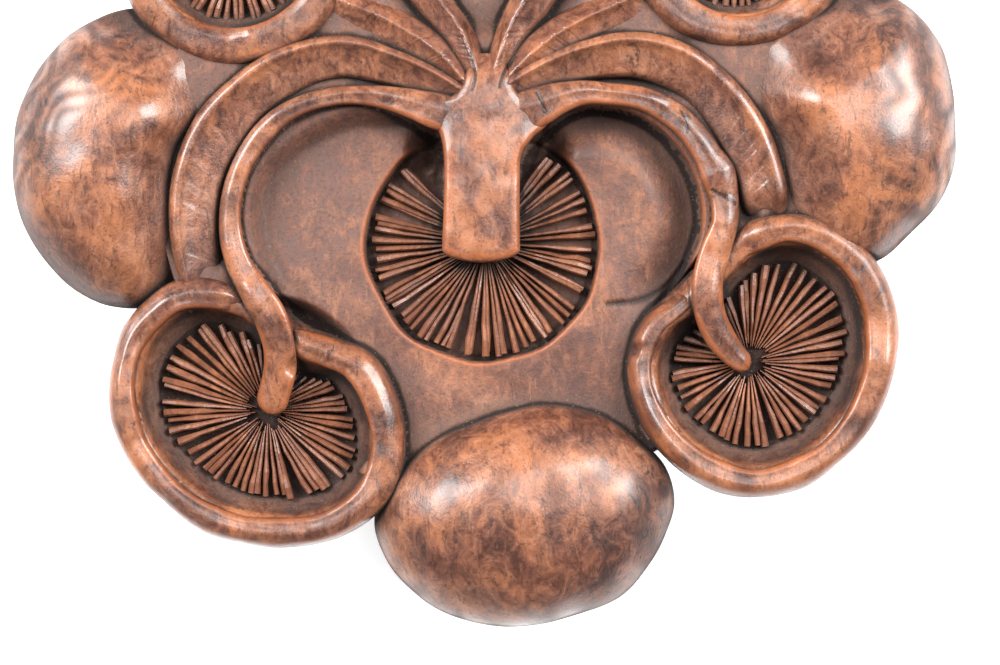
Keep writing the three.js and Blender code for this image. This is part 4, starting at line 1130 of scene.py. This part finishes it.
def plate_rings(outline, bottom, top):
    """A flat board: its outline with softened edges, and both faces drawn in to the middle."""
    middle = np.array([0, CHAMBER_V])
    levels = [
        (bottom, 0.02), (bottom, 0.5), (bottom, 1 - SOFTENED / 60),
        (bottom + 0.3 * SOFTENED, 1 - 0.25 * SOFTENED / 60), (bottom + SOFTENED, 1),
        (top - SOFTENED, 1), (top - 0.3 * SOFTENED, 1 - 0.25 * SOFTENED / 60),
        (top, 1 - SOFTENED / 60), (top, 0.5), (top, 0.02),
    ]
    return np.stack(
        [at_height(middle + share * (outline - middle), height) for height, share in levels]
    )


front_plate = skin(
    "front_plate", plate_rings(pear_outline(0, HINGE_V, 500), FRONT_BOTTOM, FRONT_TOP)
)
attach(front_plate, "front")
front_plate.data.materials.append(burr)

# ---- Leather gusset -------------------------------------------------------------------------
# One piece of thin cowhide from board to board. It laps up both edges under the bindings, and folds
# inwards three times over two bent hoops. Between the laps it puckers in small uneven creases.
GAP = 26
BACK_TOP = FRONT_BOTTOM - GAP
LAP = 0.75  # middle of the lapped leather, out from the boards' edge
LEATHER = 0.9
EDGE_STEPS = 330
PROFILE_STEPS = 140


def edge_line(count):
    """The boards' edge from the left of the neck round the chamber, with its outward direction."""
    whole = pear_outline(0, HINGE_V + 400, 6000)
    start = np.argmin(np.hypot(whole[:, 0] + NECK_HALF, whole[:, 1] - HINGE_V))
    whole = np.roll(whole, -start, axis=0)
    stop = np.argmin(np.hypot(whole[:, 0] - NECK_HALF, whole[:, 1] - HINGE_V))
    whole = whole[: stop + 1]
    length = np.r_[0, np.cumsum(np.linalg.norm(np.diff(whole, axis=0), axis=1))]
    at = np.linspace(0, length[-1], count)
    line = np.stack([np.interp(at, length, whole[:, 0]), np.interp(at, length, whole[:, 1])], -1)
    along = np.gradient(line, axis=0)
    along /= np.linalg.norm(along, axis=1)[:, None]
    return line, np.stack([along[:, 1], -along[:, 0]], -1), at


def fold_profile():
    """The gusset's section: out from the edge, and height, with each fold's depth as a full share."""
    return smooth_line(
        [(LAP, -43.6), (LAP, -40), (LAP, -36.2), (-0.3, -34.6), (-6, -33), (-11.2, -31.6),
         (-13.4, -30.6), (-11.2, -29.6), (-6, -28.4), (-1.2, -27.2), (0.7, -25.9), (1.0, -24.9),
         (0.7, -23.9), (-1.2, -23.1), (-6, -22.8), (-11.2, -22.6), (-13.4, -22), (-11.2, -21.4),
         (-6, -21.2), (-1.2, -20.9), (0.7, -20.1), (1.0, -19.1), (0.7, -18.1), (-1.2, -16.8),
         (-6, -15.6), (-11.2, -14.4), (-13.4, -13.4), (-11.2, -12.4), (-6, -11), (-0.3, -9.4),
         (LAP, -7.8), (LAP, -4), (LAP, -0.4)],
        PROFILE_STEPS,
    )


def folded(out, depth):
    """The places inside the boards' edge, drawn back to a share of the folds' full depth."""
    return np.where(out < 0, out * depth, out)


edge, outward, edge_length = edge_line(EDGE_STEPS)
profile = fold_profile()
slope = np.gradient(profile, axis=0)
slope /= np.linalg.norm(slope, axis=1)[:, None]
across = np.stack([slope[:, 1], -slope[:, 0]], -1)
section = np.concatenate([profile + across * LEATHER / 2, (profile - across * LEATHER / 2)[::-1]])
fold_depth = 1 - 0.72 * ease(edge[:, 1], 92, 138)
out = folded(section[None, :, 0], fold_depth[:, None])
free = ease(section[:, 1], -36, -33) * (1 - ease(section[:, 1], -11, -8))
along = np.repeat(edge_length[:, None], section.shape[0], 1)
height = np.repeat(section[None, :, 1], len(edge), 0)
crease_place = np.stack([along, height * 0.45], -1)
pucker = ripple(crease_place, 7, 301) + 0.6 * ripple(crease_place, 3.2, 302)
out = out + free * (0.3 * pucker - 0.25)
height = height + free * 0.28 * ripple(np.stack([along, height * 0.3], -1), 11, 303)
gusset_points = np.empty((*out.shape, 3))
gusset_points[..., :2] = edge[:, None, :] + out[..., None] * outward[:, None, :]
gusset_points[..., 2] = height
gusset = skin("gusset", gusset_points, ends="strip")
# fold: how far inside the folds each point lies, for the painted shade there
mark(gusset, "fold", np.clip(-out / 7, 0, 1).ravel())
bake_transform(gusset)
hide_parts("leather_gusset")


def cowhide(name, deep, worn, fold, grain):
    """Old leather: pebbled grain, rubbed pale and dry in patches, with painted shade in its wrinkles and
    folds.
    """
    w = Wiring(name)
    patch = w.noise(w.place(), 45, 4, 0.6, 0.5)
    pebble = w.node("ShaderNodeTexVoronoi", feature="DISTANCE_TO_EDGE")
    w.plug(pebble.inputs["Vector"], w.place())
    pebble.inputs["Scale"].default_value = grain
    wrinkle = w.noise(w.place((1, 1, 0.35)), 210, 5, 0.65, 0.8)
    tint = w.mix(w.spread(patch, 0.35, 0.68), deep, worn)
    # painted shade: darker where the wrinkles dip, the same pattern the bump below sinks
    tint = w.mix(w.spread(wrinkle, 0.56, 0.36, 0, 0.55), tint, colour(30, 18, 13))
    # painted shade, darker the deeper inside a fold
    if fold:
        tint = w.mix(w.spread(w.mark(fold), 0.1, 1.0, 0, 0.8), tint, colour(24, 15, 11))
    w.plug(w.shader.inputs["Base Color"], tint)
    w.plug(w.shader.inputs["Roughness"], w.spread(patch, 0.3, 0.7, 0.46, 0.7))
    w.shader.inputs["Specular IOR Level"].default_value = 0.4
    under = w.bump(wrinkle, 0.5, 0.0008)
    pebbled = w.spread(pebble.outputs["Distance"], 0.0, 0.12)
    w.plug(w.shader.inputs["Normal"], w.bump(pebbled, 0.35, 0.0002, under))
    return w.material


gusset.data.materials.append(
    cowhide("gusset_cowhide", colour(58, 34, 23), colour(104, 66, 44), "fold", 900)
)

# ---- Bindings -------------------------------------------------------------------------------
# A narrow strip of thicker leather over the gusset's lap on each board, held down by the nails. It
# is cut by hand, so its edges waver, and it sinks a little under each nail head.
BINDING_IN = 1.5
BINDING_THICK = 1.4
BINDING_WIDTH = 7.5
NAILS = 14
NAIL_MARGIN = 9
NAIL_RADIUS = 3.2
STEP_THICKNESS = 9
FRONT_NAIL_HEIGHT = -BOARD_THICKNESS / 2
BACK_NAIL_HEIGHT = BACK_TOP - STEP_THICKNESS / 2
nail_at = np.linspace(NAIL_MARGIN, edge_length[-1] - NAIL_MARGIN, NAILS)
strap = cowhide("strap_cowhide", colour(46, 26, 18), colour(86, 52, 34), None, 1100)


def squared(x, power):
    """Sine or cosine values with their size raised to a power: a circle turns towards a square."""
    return np.sign(x) * np.abs(x) ** power


def binding(name, middle, seed):
    """A strip along the edge, of a rounded section that thins at the nails."""
    turn = np.linspace(0, 2 * pi, 20, endpoint=False)
    wide = squared(np.sin(turn), 0.35)
    thick = squared(np.cos(turn), 0.5)
    press = np.exp(-(((edge_length[:, None] - nail_at) / NAIL_RADIUS) ** 2)).sum(axis=1)
    waver = ripple(edge_length[:, None], 23, seed)
    half = BINDING_WIDTH / 2 + 0.12 * waver
    body = BINDING_THICK / 2 * (1 - 0.22 * press)
    rings = np.empty((len(edge), len(turn), 3))
    out = BINDING_IN + body[:, None] * (1 + thick)
    rings[..., :2] = edge[:, None, :] + out[..., None] * outward[:, None, :]
    rings[..., 2] = middle + half[:, None] * wide
    return skin(name, rings)


for name, middle, body, seed in (
    ("front_binding", FRONT_NAIL_HEIGHT, "front", 311),
    ("back_binding", BACK_NAIL_HEIGHT, "back", 312),
):
    strip = binding(name + "_strip", middle, seed)
    strip.data.materials.append(strap)
    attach(strip, body)
    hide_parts(name)

# ---- Nails and tacks ------------------------------------------------------------------------
# Domed brass nails through both leathers into the boards' edges, and smaller domed tacks in the
# hinge leather and the valve. Their brass is bright, with brown tarnish in soft patches.


def aged_brass(name, bright, dull):
    """Brass that has been handled: bright yellow with brown tarnish in soft patches and fine scratches."""
    w = Wiring(name)
    patch = w.noise(w.place(), 120, 5, 0.65, 0.4)
    scratch = w.noise(w.place((1, 0.06, 1)), 1600, 3, 0.6)
    w.plug(w.shader.inputs["Base Color"], w.mix(w.spread(patch, 0.42, 0.7), bright, dull))
    w.shader.inputs["Metallic"].default_value = 1.0
    rough = w.plus(w.spread(patch, 0.35, 0.7, 0.24, 0.48), w.spread(scratch, 0.4, 0.8, 0, 0.12))
    w.plug(w.shader.inputs["Roughness"], rough)
    w.plug(w.shader.inputs["Normal"], w.bump(scratch, 0.12, 0.0001, w.bump(patch, 0.2, 0.0004)))
    return w.material


brass = aged_brass("aged_brass", colour(176, 136, 78), colour(98, 66, 38))
NAIL_RISE = 1.9
NAIL_LENGTH = 9
TACK_RADIUS = 2.6
TACK_RISE = 1.3
TACK_LENGTH = 5.5


def domes(places, aims, radius, height, length):
    """Domed nails: a low dome over a thin rim and a shank, turned round each aim at each place."""
    profile = np.array(
        [(0.06, height), (0.3, height * 0.96), (0.55, height * 0.83), (0.78, height * 0.58),
         (0.93, height * 0.28), (1.0, 0.08), (0.97, 0.0), (0.26, 0.0), (0.24, -length * 0.8),
         (0.03, -length)]
    )
    turn = np.linspace(0, 2 * pi, 20, endpoint=False)
    aims = aims / np.linalg.norm(aims, axis=1)[:, None]
    side = np.cross(aims, np.where(np.abs(aims[:, 2:]) > 0.9, [1.0, 0, 0], [0, 0, 1.0]))
    side /= np.linalg.norm(side, axis=1)[:, None]
    third = np.cross(aims, side)
    circle = side[:, None, :] * np.cos(turn)[:, None] + third[:, None, :] * np.sin(turn)[:, None]
    r = profile[:, 0] * radius
    return (
        places[:, None, None, :]
        + circle[:, None, :, :] * r[None, :, None, None]
        + aims[:, None, None, :] * profile[None, :, 1, None, None]
    )


def place_along(values, lengths):
    """Values given along the edge line, read off at other lengths along it."""
    return np.stack([np.interp(lengths, edge_length, values[:, x]) for x in range(2)], -1)


def nails(name, group, height, body, seed):
    """The nails along one board's edge, each at its own slight height and tilt."""
    nodes = [node for node in frame["nodes"] if node.startswith(group + "_")]
    rng = np.random.default_rng(seed)
    out = place_along(outward, nail_at)
    flat = place_along(edge, nail_at) + out * (BINDING_IN + BINDING_THICK + 0.02)
    places = np.column_stack([flat, height + rng.normal(0, 0.12, NAILS)])
    aims = np.column_stack([out, rng.normal(0, 0.04, NAILS)])
    piece = skin(name, domes(places, aims, NAIL_RADIUS, NAIL_RISE, NAIL_LENGTH))
    piece.data.materials.append(brass)
    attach(piece, body)
    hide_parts(*nodes)


nails("front_nails", "front_nail", FRONT_NAIL_HEIGHT, "front", 321)
nails("back_nails", "back_nail", BACK_NAIL_HEIGHT, "back", 322)


def corners_of(node):
    """The low and high corners of a CAD node's box, in the carving's millimetres."""
    low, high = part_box(node)
    return np.array(low) * 1000 - ORIGIN, np.array(high) * 1000 - ORIGIN


def tacks(name, group, body):
    """A group's tacks, upright, each with its dome's top at the top of its CAD node."""
    nodes = sorted(node for node in frame["nodes"] if node.startswith(group + "_"))
    places = []
    for node in nodes:
        low, high = corners_of(node)
        places.append((*(low + high)[:2] / 2, high[2] - TACK_RISE))
    aims = np.tile([0.0, 0, 1], (len(nodes), 1))
    piece = skin(name, domes(np.array(places), aims, TACK_RADIUS, TACK_RISE, TACK_LENGTH))
    piece.data.materials.append(brass)
    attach(piece, body)
    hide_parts(*nodes)


tacks("front_hinge_tacks", "front_hinge_tack", "front")
tacks("rear_hinge_tacks", "rear_hinge_tack", "back")
tacks("valve_tacks", "valve_tack", "back")

# ---- Back board -----------------------------------------------------------------------------
# A plain board of the same wood: a lower layer with the lower grip and a tongue under the nose, and
# the nailed step. The round air inlet goes through both.
BASE_THICKNESS = 8
BASE_TOP = BACK_TOP - STEP_THICKNESS
BASE_BOTTOM = BASE_TOP - BASE_THICKNESS
BASE_MARGIN = 3.5
INLET_MIDDLE = (0, 2)
INLET_RADIUS = 13
HANDLE_MIDDLE = (8.5, CHAMBER_V - CHAMBER_RADIUS - 2)
HANDLE_HALVES = (26, 24.5)
HANDLE_TOP = BASE_BOTTOM + 16
NOSE_START = HINGE_V + 0.3
NOSE_END = NOSE_START + 46
NOSE_FRONT_HALF = 16.5
OUTLINE_STEPS = 700


def tongue_radius(angle, margin, end_v):
    """Distance from the chamber's middle to the tongue under the nose, which narrows a little."""
    off = np.abs(np.arctan2(np.cos(angle), np.sin(angle)))
    narrowing = (NECK_HALF - NOSE_FRONT_HALF) / (end_v - HINGE_V)
    front = end_v - CHAMBER_V
    half = NOSE_FRONT_HALF + margin
    side = (half + front * narrowing) / (np.sin(off) + narrowing * np.cos(off) + 1e-9)
    r = np.minimum(side, front / np.maximum(np.cos(off), 1e-3))
    return np.where(off < 0.3, r, 0)


def handle_radius(angle, shrink):
    """Distance from the chamber's middle to the far side of the round grip, or 0 where it isn't met."""
    a, b = HANDLE_HALVES[0] - shrink, HANDLE_HALVES[1] - shrink
    x, y = HANDLE_MIDDLE[0] / a, (HANDLE_MIDDLE[1] - CHAMBER_V) / b
    dx, dy = np.cos(angle) / a, np.sin(angle) / b
    size, half, rest = dx * dx + dy * dy, dx * x + dy * y, x * x + y * y - 1
    root = half * half - size * rest
    return np.where((root > 0) & (half > 0), (half + np.sqrt(np.maximum(root, 0))) / size, 0)


def base_outline(shrink):
    """The lower layer's outline: pear, grip and tongue in one, drawn in evenly by shrink."""
    return even_outline(
        lambda angle: np.maximum(
            np.maximum(pear_radius(angle, BASE_MARGIN - shrink, HINGE_V), handle_radius(angle, shrink)),
            tongue_radius(angle, BASE_MARGIN - shrink, NOSE_END - shrink),
        ),
        OUTLINE_STEPS,
    )


def step_outline(shrink):
    """The nailed step's outline: pear and tongue in one, drawn in evenly by shrink."""
    return even_outline(
        lambda angle: np.maximum(
            pear_radius(angle, -shrink, HINGE_V), tongue_radius(angle, -shrink, NOSE_END - shrink)
        ),
        OUTLINE_STEPS,
    )


def inlet_ring(outline, radius, height):
    """The air inlet's circle, with its points in the directions of the outline's."""
    way = outline - INLET_MIDDLE
    way /= np.linalg.norm(way, axis=1)[:, None]
    return np.column_stack([np.asarray(INLET_MIDDLE) + way * radius, np.full(len(way), float(height))])


outer, outer_soft = base_outline(0), base_outline(1.2)
lower = skin(
    "back_lower_layer",
    np.stack(
        [
            inlet_ring(outer, INLET_RADIUS + 0.8, BASE_BOTTOM),
            0.5 * (inlet_ring(outer, INLET_RADIUS, BASE_BOTTOM) + at_height(outer_soft, BASE_BOTTOM)),
            at_height(outer_soft, BASE_BOTTOM),
            at_height(base_outline(0.3), BASE_BOTTOM + 0.4),
            at_height(outer, BASE_BOTTOM + 1.3),
            at_height(outer, BASE_TOP - 1.3),
            at_height(base_outline(0.3), BASE_TOP - 0.4),
            at_height(outer_soft, BASE_TOP),
            0.5 * (inlet_ring(outer, INLET_RADIUS, BASE_TOP) + at_height(outer_soft, BASE_TOP)),
            inlet_ring(outer, INLET_RADIUS, BASE_TOP),
            inlet_ring(outer, INLET_RADIUS, BASE_BOTTOM + 0.8),
        ]
    ),
    ends="loop",
)
step = step_outline(0)
step_soft = step_outline(0.6)
upper = skin(
    "back_step",
    np.stack(
        [
            inlet_ring(step, INLET_RADIUS, BASE_TOP + 0.05),
            at_height(step, BASE_TOP + 0.05),
            at_height(step, BACK_TOP - 0.6),
            at_height(step_soft, BACK_TOP),
            0.5 * (inlet_ring(step, INLET_RADIUS, BACK_TOP) + at_height(step_soft, BACK_TOP)),
            inlet_ring(step, INLET_RADIUS + 0.4, BACK_TOP),
            inlet_ring(step, INLET_RADIUS, BACK_TOP - 0.5),
        ]
    ),
    ends="loop",
)


def grip_pad():
    """The grip's upper half: the ellipse past the board's edge, rounded over like a worn handle."""
    turn = np.linspace(0, 2 * pi, 240, endpoint=False)
    clear = CHAMBER_RADIUS + 8
    rings = []
    for shrink, height in (
        (12, BASE_TOP - 1), (0.6, BASE_TOP - 1), (0.3, BASE_TOP + 2), (0.7, BASE_TOP + 5),
        (2, BASE_TOP + 7), (4.2, HANDLE_TOP - 0.2), (7, HANDLE_TOP), (12, HANDLE_TOP),
    ):
        u = HANDLE_MIDDLE[0] + (HANDLE_HALVES[0] - shrink) * np.cos(turn)
        v = HANDLE_MIDDLE[1] + (HANDLE_HALVES[1] - shrink) * np.sin(turn)
        inner = clear + 0.35 * shrink
        limit = CHAMBER_V - np.sqrt(np.maximum(inner**2 - u**2, 0))
        rings.append(np.column_stack([u, np.minimum(v, limit), np.full(len(turn), float(height))]))
    return np.stack(rings)


pad = skin("back_grip", grip_pad())


def plain_burr():
    """The back board's plainer wood: long grain along the bellows, with darker and lighter clouds."""
    w = Wiring("plain_burr")
    grain = w.noise(w.place((1, 0.09, 1)), 420, 5, 0.6, 0.35)
    cloud = w.noise(w.place(), 30, 4, 0.6, 0.8)
    blend = w.plus(w.times(grain, 0.55), w.times(cloud, 0.45))
    tint = w.ramp(blend, [(0.36, colour(78, 42, 29)), (0.5, colour(122, 72, 48)),
                          (0.62, colour(146, 90, 60))])
    w.plug(w.shader.inputs["Base Color"], tint)
    w.plug(w.shader.inputs["Roughness"], w.spread(grain, 0.3, 0.7, 0.42, 0.6))
    w.shader.inputs["Coat Weight"].default_value = 0.12
    w.shader.inputs["Coat Roughness"].default_value = 0.35
    w.plug(w.shader.inputs["Normal"], w.bump(grain, 0.3, 0.0003))
    return w.material


plain = plain_burr()
for piece in (lower, upper, pad):
    piece.data.materials.append(plain)
    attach(piece, "back")
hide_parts("back_board")

# ---- Nose block -----------------------------------------------------------------------------
# A solid block between the boards' necks, bored for the air duct. The hinge leather is tacked on
# top of it, and the nozzle is driven into its front.
DUCT_HEIGHT = BACK_TOP / 2
DUCT_RADIUS = 6.5
SOCKET_RADIUS = 9.3
SOCKET_DEPTH = 18
SQUARENESS = 26


def nose_ring(v, grow, radius=None):
    """The block's upright section at v, a rectangle with rounded corners, or the duct's circle."""
    turn = np.linspace(0, 2 * pi, 160, endpoint=False)
    along = (v - NOSE_START) / (NOSE_END - NOSE_START)
    a = NECK_HALF + (NOSE_FRONT_HALF - NECK_HALF) * along + grow
    b = -BACK_TOP / 2 - 0.02 + grow
    across, up = np.abs(np.cos(turn) / a), np.abs(np.sin(turn) / b)
    r = (across**SQUARENESS + up**SQUARENESS) ** (-1 / SQUARENESS)
    if radius is not None:
        r = np.full_like(turn, radius)
    return np.column_stack([r * np.cos(turn), np.full(len(turn), float(v)), DUCT_HEIGHT + r * np.sin(turn)])


nose = skin(
    "nose",
    np.stack(
        [
            nose_ring(NOSE_START, -6, radius=DUCT_RADIUS),
            nose_ring(NOSE_START, -0.5),
            nose_ring(NOSE_START + 0.5, 0),
            nose_ring(NOSE_END - 1.4, 0),
            nose_ring(NOSE_END - 0.4, -0.4),
            nose_ring(NOSE_END, -1.4),
            nose_ring(NOSE_END, -6, radius=SOCKET_RADIUS),
            nose_ring(NOSE_END - SOCKET_DEPTH, -6, radius=SOCKET_RADIUS),
            nose_ring(NOSE_END - SOCKET_DEPTH - 0.1, -6, radius=DUCT_RADIUS),
        ]
    ),
    ends="loop",
)
nose.data.materials.append(plain)
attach(nose, "back")
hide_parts("nose_block")

# ---- Nozzle ---------------------------------------------------------------------------------
# A long tapered brass pipe with turned lines and a rolled bead at its mouth, and a turned collar
# that covers the joint with the nose.


LINE_DEPTH = 0.28
LINE_HALF = 0.45


def turned(profile, start_v):
    """A profile of radius and distance along the nozzle, turned once round the duct's axis."""
    turn = np.linspace(0, 2 * pi, 96, endpoint=False)
    r, v = profile[:, 0:1], np.repeat(start_v + profile[:, 1:2], len(turn), axis=1)
    return np.stack([r * np.cos(turn), v, DUCT_HEIGHT + r * np.sin(turn)], -1)


def lined(v, radius, places):
    """A turner's fine lines: the radius less a narrow dip at each place."""
    dip = sum(np.exp(-(((v - place) / LINE_HALF) ** 2)) for place in places)
    return radius - LINE_DEPTH * dip


MOUTH = 126
v = np.r_[np.linspace(0, 31, 50), np.linspace(31.5, MOUTH - 2.2, 260)]
taper = np.interp(v, [0, 31, MOUTH - 2], [9, 9, 5.6])
outside = np.column_stack([lined(v, taper, [35, 37.4, 66, 68.2, 70.4, 112, 114]), v])
bead_turn = np.linspace(-pi * 0.42, pi * 0.42, 24)
bead = np.column_stack([5.2 + 1.8 * np.cos(bead_turn), MOUTH + 2 + 3.9 * np.sin(bead_turn) / 1.02])
lip = np.array([(5.6, 131.6), (5.2, 132.0), (4.3, 132.0), (3.8, 131.6)])
bore = np.array([(3.75, 130.5), (4.8, 70), (6.2, 0.3)])
tube_profile = np.concatenate([outside, bead, lip, bore])
tube = skin("nozzle", turned(tube_profile, NOSE_END - SOCKET_DEPTH), ends="loop")
tube.data.materials.append(aged_brass("nozzle_brass", colour(160, 124, 72), colour(84, 58, 36)))
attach(tube, "back")
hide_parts("nozzle_tube")

collar_profile = smooth_line(
    [(9.4, 0.1), (13, 0.1), (13.9, 0.6), (14, 1.8), (13.6, 2.9), (12.3, 3.6), (11.9, 4.6),
     (12.4, 5.6), (12.3, 6.8), (11.4, 8), (10.9, 9.8), (11.2, 11.2), (11.1, 12.4), (10.4, 13),
     (9.5, 12.9)],
    90,
)
collar = skin("collar", turned(collar_profile, NOSE_END + 0.3), ends="loop")
collar.data.materials.append(brass)
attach(collar, "back")
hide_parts("nozzle_ferrule")

# ---- Hinge leather --------------------------------------------------------------------------
# A thick strap across the top of the joint, tacked to the front board's neck and to the nose. Its
# edges have curled a little with age.


def strap_points(low, high, curl, seed, steps_u=60, steps_v=70):
    """A flat strap with rounded edges: rings along its length, each a flattened oval.

    low and high are its corners. Its two long edges lift by up to curl, unevenly.
    """
    turn = np.linspace(0, 2 * pi, steps_u, endpoint=False)
    wide = squared(np.cos(turn), 0.25)
    thick = squared(np.sin(turn), 0.6)
    half = (high - low) / 2
    middle = (high + low) / 2
    s = np.linspace(-1, 1, steps_v)
    end = np.maximum((1 - np.abs(s) ** 40) ** 0.5, 0.3)
    u = middle[0] + half[0] * wide[None, :] * (1 - 0.03 * (1 - end[:, None]))
    v = middle[1] + half[1] * s[:, None] + 0 * u
    z = middle[2] + half[2] * thick[None, :] * end[:, None]
    z = z + curl * np.abs(wide[None, :]) ** 6 * (0.5 + 0.5 * ripple(v[..., None], 9, seed))
    return np.stack([u, v, z], -1)


hinge_strap = skin("hinge_strap", strap_points(*corners_of("hinge_leather"), 0.25, 331))
hinge_strap.data.materials.append(strap)
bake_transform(hinge_strap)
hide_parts("hinge_leather")

# ---- Cheeks and valve leathers --------------------------------------------------------------
# Two leathers glued over the sides of the nose, which follow its taper, and the soft parts of the
# valve inside: the flap under its board, and the tail that the tacks hold.
CHEEK_BOTTOM = BASE_TOP + 0.3
CHEEK_TOP = -1.5
CHEEK_START = HINGE_V + 1.8
CHEEK_END = HINGE_V + 24.3
CHEEK_LIFT = 0.3
STRAP_THICKNESS = 1.4

for side, name in ((-1, "left"), (1, "right")):
    low = np.array([CHEEK_BOTTOM, CHEEK_START, 0.0])
    high = np.array([CHEEK_TOP, CHEEK_END, STRAP_THICKNESS])
    flat = strap_points(low, high, 0.12, 340 + side)
    height, v, out = flat[..., 0], flat[..., 1], flat[..., 2]
    narrowing = (NECK_HALF - NOSE_FRONT_HALF) / (NOSE_END - NOSE_START)
    half = NECK_HALF + CHEEK_LIFT - narrowing * (v - NOSE_START)
    cheek = skin("cheek_" + name, np.stack([side * (half + out), v, height], -1))
    cheek.data.materials.append(strap)
    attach(cheek, "back")
    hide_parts("cheek_leather_" + name)

for node, body, seed in (("valve_flap", "valve", 351), ("valve_hinge_strip", "back", 352)):
    leather = skin(node + "_leather", strap_points(*corners_of(node), 0.0, seed, 48, 40))
    leather.data.materials.append(strap)
    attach(leather, body)
    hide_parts(node)

# ---- Carried-over pieces --------------------------------------------------------------------
# The valve's board, the hoops and the nose's screws are plain on the real thing too, and take their
# finish as they are.


def bare_beech():
    """Unfinished pale wood for the hoops and the valve's board, with straight pores."""
    w = Wiring("bare_beech")
    grain = w.noise(w.place((1, 0.07, 1)), 600, 4, 0.6)
    tint = w.mix(w.spread(grain, 0.35, 0.65), colour(168, 126, 84), colour(124, 86, 54))
    w.plug(w.shader.inputs["Base Color"], tint)
    w.shader.inputs["Roughness"].default_value = 0.75
    w.plug(w.shader.inputs["Normal"], w.bump(grain, 0.3, 0.0003))
    return w.material


def dull_iron():
    """Old iron screws, brown-grey and pitted."""
    w = Wiring("dull_iron")
    pit = w.noise(w.place(), 900, 4, 0.6)
    tint = w.mix(w.spread(pit, 0.4, 0.65), colour(92, 86, 82), colour(70, 50, 40))
    w.plug(w.shader.inputs["Base Color"], tint)
    w.shader.inputs["Metallic"].default_value = 0.85
    w.plug(w.shader.inputs["Roughness"], w.spread(pit, 0.3, 0.7, 0.4, 0.7))
    w.plug(w.shader.inputs["Normal"], w.bump(pit, 0.3, 0.0003))
    return w.material


beech = bare_beech()
iron = dull_iron()
kept = {
    "hoop_lower": beech, "hoop_upper": beech, "valve_board": beech,
    "block_screw_1": iron, "block_screw_2": iron,
}
for node, finish in kept.items():
    mesh = frame["nodes"][node].data
    mesh.materials.clear()
    mesh.materials.append(finish)
